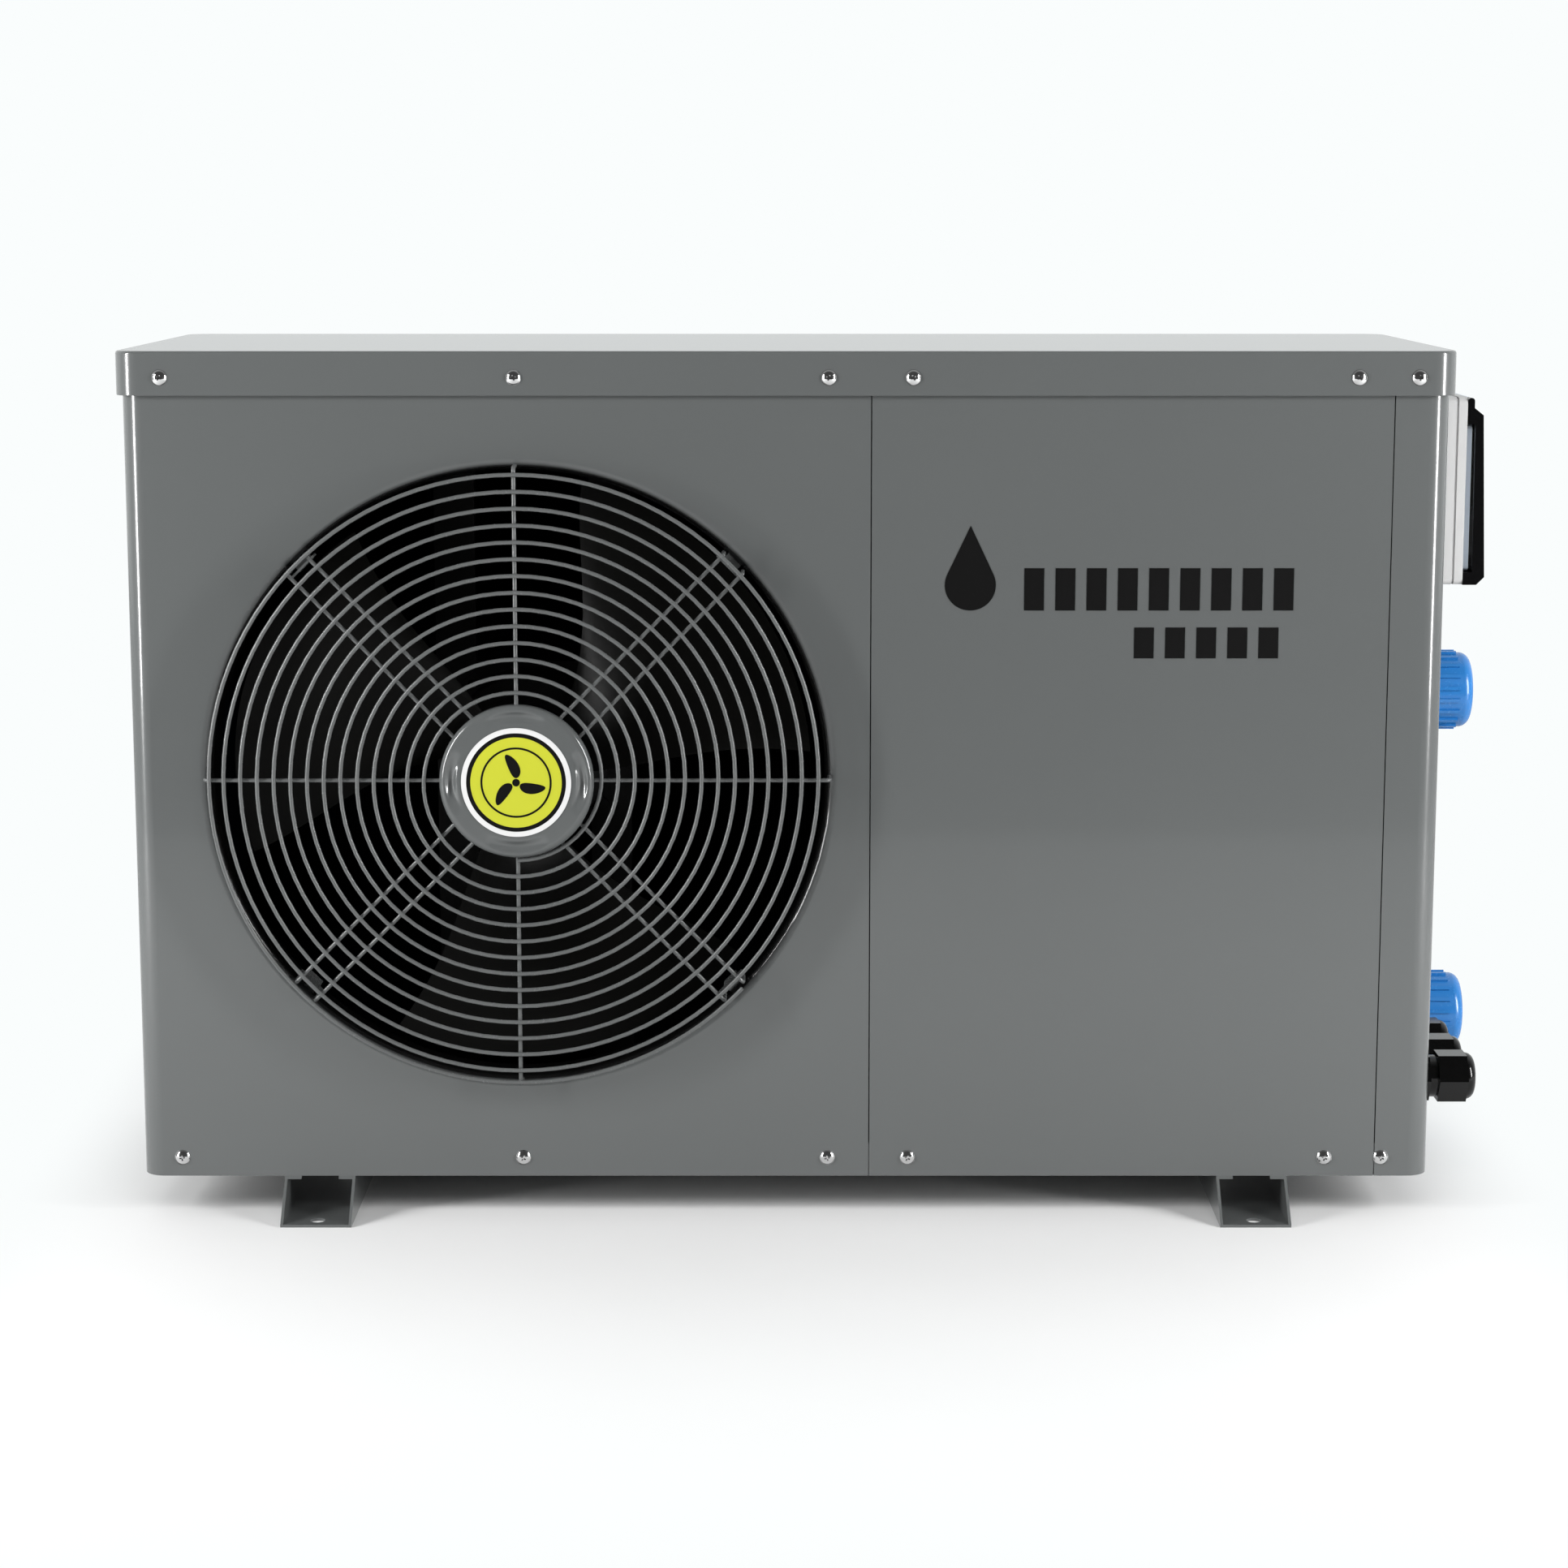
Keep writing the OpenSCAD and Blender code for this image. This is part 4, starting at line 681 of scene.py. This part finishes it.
def build_label():
    """Round label: a white rim, a black ring, a yellow field and a plain fan symbol."""
    low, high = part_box("fan_guard_label")
    rim_r = (high.x - low.x) / 2
    ring_r = rim_r * 0.907
    field_r = rim_r * 0.83
    ink_y = low.y
    paper_y = low.y + 0.06 * MM
    shape = bmesh.new()
    add_band(shape, rim_r, ring_r, high.y, paper_y)
    add_piece("label_rim", shape, "cabinet", "label_yellow", ["fan_guard_label"])
    paint(bpy.data.objects["label_rim"], "label_white")
    shape = bmesh.new()
    add_band(shape, ring_r, field_r, high.y, paper_y)
    add_piece("label_ring", shape, "cabinet", "decal_black")
    shape = bmesh.new()
    add_plate(shape, arc(field_r, 0, 357, 119), high.y, paper_y)
    add_piece("label_field", shape, "cabinet", "label_yellow")
    shape = bmesh.new()
    blade_len = field_r * 0.62
    for k in range(3):
        turn = math.radians(90 + 120 * k)
        outline = []
        for x, y in arc(1.0, 0, 348, 29):
            along = blade_len * (0.58 + 0.42 * x)
            aside = blade_len * (0.21 * y + 0.16 * (x + 1) ** 2 / 2)
            outline.append((
                along * math.cos(turn) - aside * math.sin(turn),
                along * math.sin(turn) + aside * math.cos(turn),
            ))
        add_plate(shape, outline, paper_y, ink_y)
    add_plate(shape, arc(field_r * 0.085, 0, 352, 44), paper_y, ink_y)
    add_band(shape, field_r * 0.78, field_r * 0.735, paper_y, ink_y)
    add_piece("label_symbol", shape, "cabinet", "decal_black")


# ---------- fan ----------

BLADE_TIP_R = 208 * MM
BLADE_ROOT_R = 40.5 * MM
BLADE_COUNT = 3
BLADE_FRONT_Y = -141 * MM
BLADE_DEPTH = 44
BLADE_CAMBER = 6


def blade_point(u, v, side):
    """Point on a blade: u from hub to tip, v across the chord, side +1 in front."""
    radius = BLADE_ROOT_R + u * (BLADE_TIP_R - BLADE_ROOT_R)
    span = 52 + 22 * math.sin(math.pi / 2 * u)
    turn = math.radians(4 * u + v * span + 4 * math.sin(math.pi * u) * (1 - v))
    lift = BLADE_CAMBER * math.sin(math.pi * v) * u
    edge = min(v, 1 - v)
    thick = 0.45 + 1.7 * math.sqrt(max(0.0, 1 - (1 - min(edge / 0.28, 1)) ** 2))
    bead = 0.5 * math.exp(-((v - 0.03) / 0.03) ** 2)
    depth = BLADE_DEPTH * (0.15 * u + (1 - 0.3 * u) * v) - lift - side * (thick + bead)
    return radius * math.cos(turn), radius * math.sin(turn), BLADE_FRONT_Y + depth * MM


def build_fan():
    """Three cambered blades on a ribbed hub."""
    front_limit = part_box("fan_blades")[0].y + 0.1 * MM
    shape = bmesh.new()
    rows, columns = 28, 26
    for k in range(BLADE_COUNT):
        spin = math.tau * k / BLADE_COUNT
        rings = []
        for i in range(rows + 1):
            u = i / rows
            loop = [(j / columns, 1) for j in range(columns + 1)]
            loop += [(j / columns, -1) for j in range(columns, -1, -1)]
            ring = []
            for v, side in loop:
                x, z, y = blade_point(u, v, side)
                ring.append(shape.verts.new(on_fan(
                    x * math.cos(spin) - z * math.sin(spin),
                    x * math.sin(spin) + z * math.cos(spin),
                    max(y, front_limit),
                )))
            rings.append(ring)
        for a, b in zip(rings, rings[1:]):
            skin(shape, a, b)
        shape.faces.new(rings[0])
        shape.faces.new(rings[-1])
    centre = Vector((FAN.x, 0, FAN.z))
    hub_r, hub_wall, hub_round = 42 * MM, 3 * MM, 4 * MM
    bore_r, boss_r = 5.1 * MM, 14 * MM
    front_y, back_y = -144 * MM, -86 * MM
    web_y = front_y + 8 * MM
    dish_y = front_y + 3 * MM
    hub = [(bore_r, back_y), (boss_r, back_y), (boss_r, web_y),
           (hub_r - hub_wall, web_y), (hub_r - hub_wall, back_y), (hub_r, back_y)]
    hub += [(hub_r - hub_round + x, front_y + hub_round - z)
            for x, z in arc(hub_round, 0, 90, 6)]
    hub += [(26 * MM, front_y), (24 * MM, dish_y), (12 * MM, dish_y),
            (11 * MM, front_y), (bore_r, front_y)]
    add_lathe(shape, centre, Vector((0, 1, 0)), hub, 96, closed=True)
    hub_ribs = 12
    rib_faces = (
        (0, 1, 3, 2), (4, 5, 7, 6), (0, 1, 5, 4), (2, 3, 7, 6), (0, 2, 6, 4), (1, 3, 7, 5),
    )
    for k in range(hub_ribs):
        turn = math.tau * k / hub_ribs
        along = Vector((math.cos(turn), 0, math.sin(turn)))
        aside = Vector((-math.sin(turn), 0, math.cos(turn))) * 0.8 * MM
        corners = []
        for radius in (13 * MM, hub_r - 2 * MM):
            for y in (front_y + 7 * MM, back_y - 6 * MM):
                for way in (-1, 1):
                    corners.append(shape.verts.new(
                        centre + radius * along + way * aside + Vector((0, y, 0))
                    ))
        for face in rib_faces:
            shape.faces.new([corners[i] for i in face])
    add_piece("fan_rotor", shape, "fan", "fan_black", ["fan_blades"], sharp=40.0)


# ---------- screws ----------

SCREW_HEAD_R = 5.5 * MM
SCREW_HEAD_H = 2.6 * MM
SCREW_SHANK_R = 2 * MM
SCREW_LENGTH = 11 * MM


def screw_mesh():
    """Pan head with a tapered cross recess, seated on z = 0 and facing +Z."""
    dome = (SCREW_HEAD_R ** 2 + SCREW_HEAD_H ** 2) / (2 * SCREW_HEAD_H)
    profile = [
        (SCREW_SHANK_R, -SCREW_LENGTH), (SCREW_SHANK_R, 0),
        (SCREW_HEAD_R - 0.3 * MM, 0), (SCREW_HEAD_R, 0.25 * MM),
    ]
    for k in range(10):
        radius = SCREW_HEAD_R * (1 - k / 10) * 0.985
        profile.append((radius, math.sqrt(dome ** 2 - radius ** 2) - dome + SCREW_HEAD_H))
    shape = bmesh.new()
    add_lathe(shape, Vector((0, 0, 0)), Vector((0, 0, 1)), profile, 40)
    head = bpy.data.meshes.new("screw_head")
    bmesh.ops.recalc_face_normals(shape, faces=shape.faces)
    shape.to_mesh(head)
    shape.free()
    shape = bmesh.new()
    for long_x in (True, False):
        made = bmesh.ops.create_cube(shape, size=1.0)
        for vertex in made["verts"]:
            wide = vertex.co.z > 0
            arm = (2.5 if wide else 1.2) * MM
            slot = (0.62 if wide else 0.4) * MM
            x, y = (arm, slot) if long_x else (slot, arm)
            vertex.co = Vector((
                math.copysign(x, vertex.co.x), math.copysign(y, vertex.co.y),
                3.2 * MM if wide else 0.5 * MM,
            ))
    cross = bpy.data.meshes.new("screw_cross")
    bmesh.ops.recalc_face_normals(shape, faces=shape.faces)
    shape.to_mesh(cross)
    shape.free()
    body = bpy.data.objects.new("screw_head", head)
    cutter = bpy.data.objects.new("screw_cross", cross)
    for thing in (body, cutter):
        bpy.context.scene.collection.objects.link(thing)
    cut = body.modifiers.new("cross", "BOOLEAN")
    cut.operation = "DIFFERENCE"
    cut.solver = "EXACT"
    cut.use_self = True
    cut.object = cutter
    bpy.context.view_layer.update()
    seen = body.evaluated_get(bpy.context.evaluated_depsgraph_get())
    result = bpy.data.meshes.new_from_object(seen)
    for thing in (body, cutter):
        bpy.data.objects.remove(thing)
    return result


def screw_turns():
    """Turn of each screw's slot, in degrees, so that no two neighbours match."""
    turn = 12.0
    while True:
        yield turn
        turn = (turn + 137.5) % 90


def build_screws():
    """One screw at each place where the CAD set has one, facing out of the cabinet."""
    mesh = screw_mesh()
    turns = screw_turns()
    for node, name in (("lid_screws", "lid_screw_set"), ("panel_screws", "panel_screw_set")):
        shape = bmesh.new()
        for low, high in solid_boxes(node):
            centre = (low + high) / 2
            size = high - low
            if size.y > size.x:
                out = Vector((0, -1, 0)) if centre.y < 0 else Vector((0, 1, 0))
                seat = low.y + SCREW_HEAD_H if centre.y < 0 else high.y - SCREW_HEAD_H
                place = Vector((centre.x, seat, centre.z))
            else:
                out = Vector((-1, 0, 0)) if centre.x < 0 else Vector((1, 0, 0))
                seat = low.x + SCREW_HEAD_H if centre.x < 0 else high.x - SCREW_HEAD_H
                place = Vector((seat, centre.y, centre.z))
            turn = math.radians(next(turns))
            side = Vector((0, 0, 1)).cross(out)
            right = math.cos(turn) * side + math.sin(turn) * Vector((0, 0, 1))
            up = out.cross(right)
            first = len(shape.verts)
            shape.from_mesh(mesh)
            shape.verts.ensure_lookup_table()
            for vertex in shape.verts[first:]:
                local = vertex.co.copy()
                vertex.co = place + local.x * right + local.y * up + local.z * out
        add_piece(name, shape, "cabinet", "screw_zinc", [node], sharp=32.0)


# ---------- lid ----------

def rounded_loop(shape, width, depth, radius, z, corner_steps=10):
    """Ring of vertices around a rectangle with rounded corners."""
    ring = []
    for k, (sx, sy) in enumerate(((1, 1), (-1, 1), (-1, -1), (1, -1))):
        for x, y in arc(radius, 90 * k, 90 * k + 90, corner_steps):
            ring.append(shape.verts.new((
                sx * (width / 2 - radius) + x, sy * (depth / 2 - radius) + y, z
            )))
    return ring


def build_lid():
    """Folded lid with a small radius along its top edge and a hemmed skirt."""
    low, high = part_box("top_lid")
    width, depth = high.x - low.x, high.y - low.y
    radius = 18 * MM
    sheet = 1.2 * MM
    fold = 2.2 * MM
    shape = bmesh.new()
    levels = [(sheet, low.z), (0.3 * MM, low.z), (0.0, low.z + 0.3 * MM), (0.0, high.z - fold)]
    levels += [(fold - x, high.z - fold + z) for x, z in arc(fold, 0, 90, 6)[1:]]
    rings = [
        rounded_loop(shape, width - 2 * inset, depth - 2 * inset, radius - inset, z)
        for inset, z in levels
    ]
    for a, b in zip(rings, rings[1:]):
        skin(shape, a, b)
    shape.faces.new(rings[-1])
    inner = rounded_loop(
        shape, width - 2 * sheet, depth - 2 * sheet, radius - sheet, high.z - sheet
    )
    skin(shape, rings[0], inner)
    shape.faces.new(inner)
    piece = add_piece("lid_shell", shape, "cabinet", "cabinet_grey", ["top_lid"], sharp=60.0)
    weigh_normals(piece)


# ---------- evaporator ----------

def build_fins():
    """Thin rippled fins, close enough to hide what is behind them."""
    low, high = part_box("evaporator_fins")
    coil_t = 38 * MM
    bend_r = 41 * MM
    bend_x = low.x + coil_t / 2 + bend_r
    bend_y = high.y - coil_t / 2 - bend_r
    left_len = bend_y - low.y
    bend_len = bend_r * math.pi / 2
    back_len = high.x - bend_x
    total = left_len + bend_len + back_len
    pitch = 1.9 * MM
    thick = 0.16 * MM
    ripple = 2.4 * MM
    folds = 6
    margin = 3 * MM
    shape = bmesh.new()

    def plan(s, t):
        if s < left_len:
            return low.x + coil_t / 2 - t, low.y + s
        if s < left_len + bend_len:
            turn = math.pi - math.pi / 2 * (s - left_len) / bend_len
            return bend_x + (bend_r + t) * math.cos(turn), bend_y + (bend_r + t) * math.sin(turn)
        return bend_x + s - left_len - bend_len, bend_y + bend_r + t

    count = int((total - 2 * margin) / pitch)
    for i in range(count + 1):
        s = margin + i * pitch
        lines = []
        for side in (-thick / 2, thick / 2):
            for k in range(folds + 1):
                t = coil_t * (k / folds - 0.5)
                wave = ripple / 2 * (1 if k % 2 else -1)
                fade = 0.35 if k in (0, folds) else 1.0
                lines.append(plan(s + side + wave * fade, t * 0.998))
        outline = lines[:folds + 1] + lines[:folds:-1]
        bottom = [shape.verts.new((x, y, low.z)) for x, y in outline]
        top = [shape.verts.new((x, y, high.z)) for x, y in outline]
        skin(shape, bottom, top)
        for ring in (bottom, top):
            for k in range(folds):
                opposite = len(ring) - 1 - k
                shape.faces.new((ring[k], ring[k + 1], ring[opposite - 1], ring[opposite]))
    add_piece("coil_fins", shape, "cabinet", "fin_dark", ["evaporator_fins"], sharp=20.0)


build_guard()
build_cap()
build_label()
build_fan()
build_screws()
build_lid()
build_fins()


# ---------- studio ----------

BACKDROP = (0.956, 0.982, 0.982)
FLOOR_HALF = 4.0
FLOOR_FRONT_Y = -1.7
# Distance from the middle at which the floor starts and ends its fade, along each axis
FLOOR_FADE = (("X", 0.45, 0.58), ("Y", 0.26, 1.0))
# Brightness of the room that surfaces reflect, from the front to behind the object
ROOM_LIGHT = [
    (0.30, (0.07, 0.07, 0.07)), (0.50, (0.45, 0.46, 0.46)), (0.62, BACKDROP),
]
STRIP_PLACE = (1.79, -0.96, 0.78)
STRIP_TARGET = (0.46, -0.15, 0.62)
STRIP_SIZE = (0.22, 1.25)
STRIP_POWER = 46.0
KEY_PLACE = (0.0, -2.6, 2.2)
KEY_TARGET = (0.0, -0.3, 0.2)
KEY_SIZE = (2.6, 1.2)
KEY_POWER = 34.0
CAMERA_PLACE = (-0.0013, -2.6044, 0.7258)
CAMERA_DOWN = 9.47
CAMERA_LENS = 80.0
CAMERA_SENSOR = 36.0


def add_floor():
    """Pale floor that fades into the backdrop away from the object."""
    mesh = bpy.data.meshes.new("floor")
    shape = bmesh.new()
    corners = [
        (-FLOOR_HALF, FLOOR_FRONT_Y), (FLOOR_HALF, FLOOR_FRONT_Y),
        (FLOOR_HALF, FLOOR_HALF), (-FLOOR_HALF, FLOOR_HALF),
    ]
    shape.faces.new([shape.verts.new((x, y, 0.0)) for x, y in corners])
    shape.to_mesh(mesh)
    shape.free()
    floor = bpy.data.objects.new("floor", mesh)
    bpy.context.scene.collection.objects.link(floor)
    material, tree, shader = new_material("floor_white")
    links = tree.links
    dust = add_noise(tree, 3.0)
    stops = [(0.3, (0.72, 0.72, 0.72)), (0.7, (0.74, 0.74, 0.74))]
    links.new(add_ramp(tree, dust, stops), shader.inputs["Base Color"])
    shader.inputs["Roughness"].default_value = 0.9
    shader.inputs["Specular IOR Level"].default_value = 0.1
    coords = tree.nodes.new("ShaderNodeTexCoord")
    split = tree.nodes.new("ShaderNodeSeparateXYZ")
    links.new(coords.outputs["Object"], split.inputs["Vector"])
    fade = tree.nodes.new("ShaderNodeMath")
    fade.operation = "MAXIMUM"
    for k, (axis, start, end) in enumerate(FLOOR_FADE):
        away = tree.nodes.new("ShaderNodeMath")
        away.operation = "ABSOLUTE"
        links.new(split.outputs[axis], away.inputs[0])
        step = tree.nodes.new("ShaderNodeMapRange")
        step.interpolation_type = "SMOOTHSTEP"
        step.inputs["From Min"].default_value = start
        step.inputs["From Max"].default_value = end
        links.new(away.outputs["Value"], step.inputs["Value"])
        links.new(step.outputs["Result"], fade.inputs[k])
    glow = tree.nodes.new("ShaderNodeEmission")
    glow.inputs["Color"].default_value = (*BACKDROP, 1.0)
    blend = tree.nodes.new("ShaderNodeMixShader")
    output = tree.nodes["Material Output"]
    rays = tree.nodes.new("ShaderNodeLightPath")
    seen = tree.nodes.new("ShaderNodeMath")
    seen.operation = "MULTIPLY"
    links.new(fade.outputs["Value"], seen.inputs[0])
    links.new(rays.outputs["Is Camera Ray"], seen.inputs[1])
    links.new(seen.outputs["Value"], blend.inputs["Fac"])
    links.new(shader.outputs["BSDF"], blend.inputs[1])
    links.new(glow.outputs["Emission"], blend.inputs[2])
    links.new(blend.outputs["Shader"], output.inputs["Surface"])
    floor.data.materials.append(material)


def add_area(name, place, target, size, power):
    """Area light at a place, facing a target, that the camera doesn't see."""
    data = bpy.data.lights.new(name, "AREA")
    data.shape = "RECTANGLE"
    data.size, data.size_y = size
    data.energy = power
    light = bpy.data.objects.new(name, data)
    light.location = place
    light.visible_camera = False
    aim = Vector(target) - Vector(place)
    light.rotation_euler = aim.to_track_quat("-Z", "Y").to_euler()
    bpy.context.scene.collection.objects.link(light)
    return light


def add_lights():
    """White backdrop, a dim room in front, two tall strips at the corners and a soft key."""
    world = bpy.data.worlds.new("studio")
    world.use_nodes = True
    tree = world.node_tree
    backdrop = tree.nodes["Background"]
    backdrop.inputs["Color"].default_value = (*BACKDROP, 1.0)
    room = tree.nodes.new("ShaderNodeBackground")
    coords = tree.nodes.new("ShaderNodeTexCoord")
    split = tree.nodes.new("ShaderNodeSeparateXYZ")
    spread = tree.nodes.new("ShaderNodeMapRange")
    spread.inputs["From Min"].default_value = -1.0
    room_light = add_ramp(tree, spread.outputs["Result"], ROOM_LIGHT)
    rays = tree.nodes.new("ShaderNodeLightPath")
    blend = tree.nodes.new("ShaderNodeMixShader")
    tree.links.new(coords.outputs["Generated"], split.inputs["Vector"])
    tree.links.new(split.outputs["Y"], spread.inputs["Value"])
    tree.links.new(room_light, room.inputs["Color"])
    tree.links.new(rays.outputs["Is Camera Ray"], blend.inputs["Fac"])
    tree.links.new(room.outputs["Background"], blend.inputs[1])
    tree.links.new(backdrop.outputs["Background"], blend.inputs[2])
    tree.links.new(blend.outputs["Shader"], tree.nodes["World Output"].inputs["Surface"])
    bpy.context.scene.world = world
    for side in (-1, 1):
        place = (side * STRIP_PLACE[0], *STRIP_PLACE[1:])
        target = (side * STRIP_TARGET[0], *STRIP_TARGET[1:])
        add_area("strip", place, target, STRIP_SIZE, STRIP_POWER)
    key = add_area("front_key", KEY_PLACE, KEY_TARGET, KEY_SIZE, KEY_POWER)
    key.visible_glossy = False


def add_camera():
    """Long lens, level with the lid and turned a little down."""
    data = bpy.data.cameras.new("camera")
    data.lens = CAMERA_LENS
    data.sensor_width = CAMERA_SENSOR
    data.clip_end = 60.0
    camera = bpy.data.objects.new("camera", data)
    camera.location = CAMERA_PLACE
    camera.rotation_euler = (math.radians(90.0 - CAMERA_DOWN), 0.0, 0.0)
    bpy.context.scene.collection.objects.link(camera)
    bpy.context.scene.camera = camera


add_floor()
add_lights()
add_camera()
bpy.context.scene.view_settings.view_transform = "Standard"
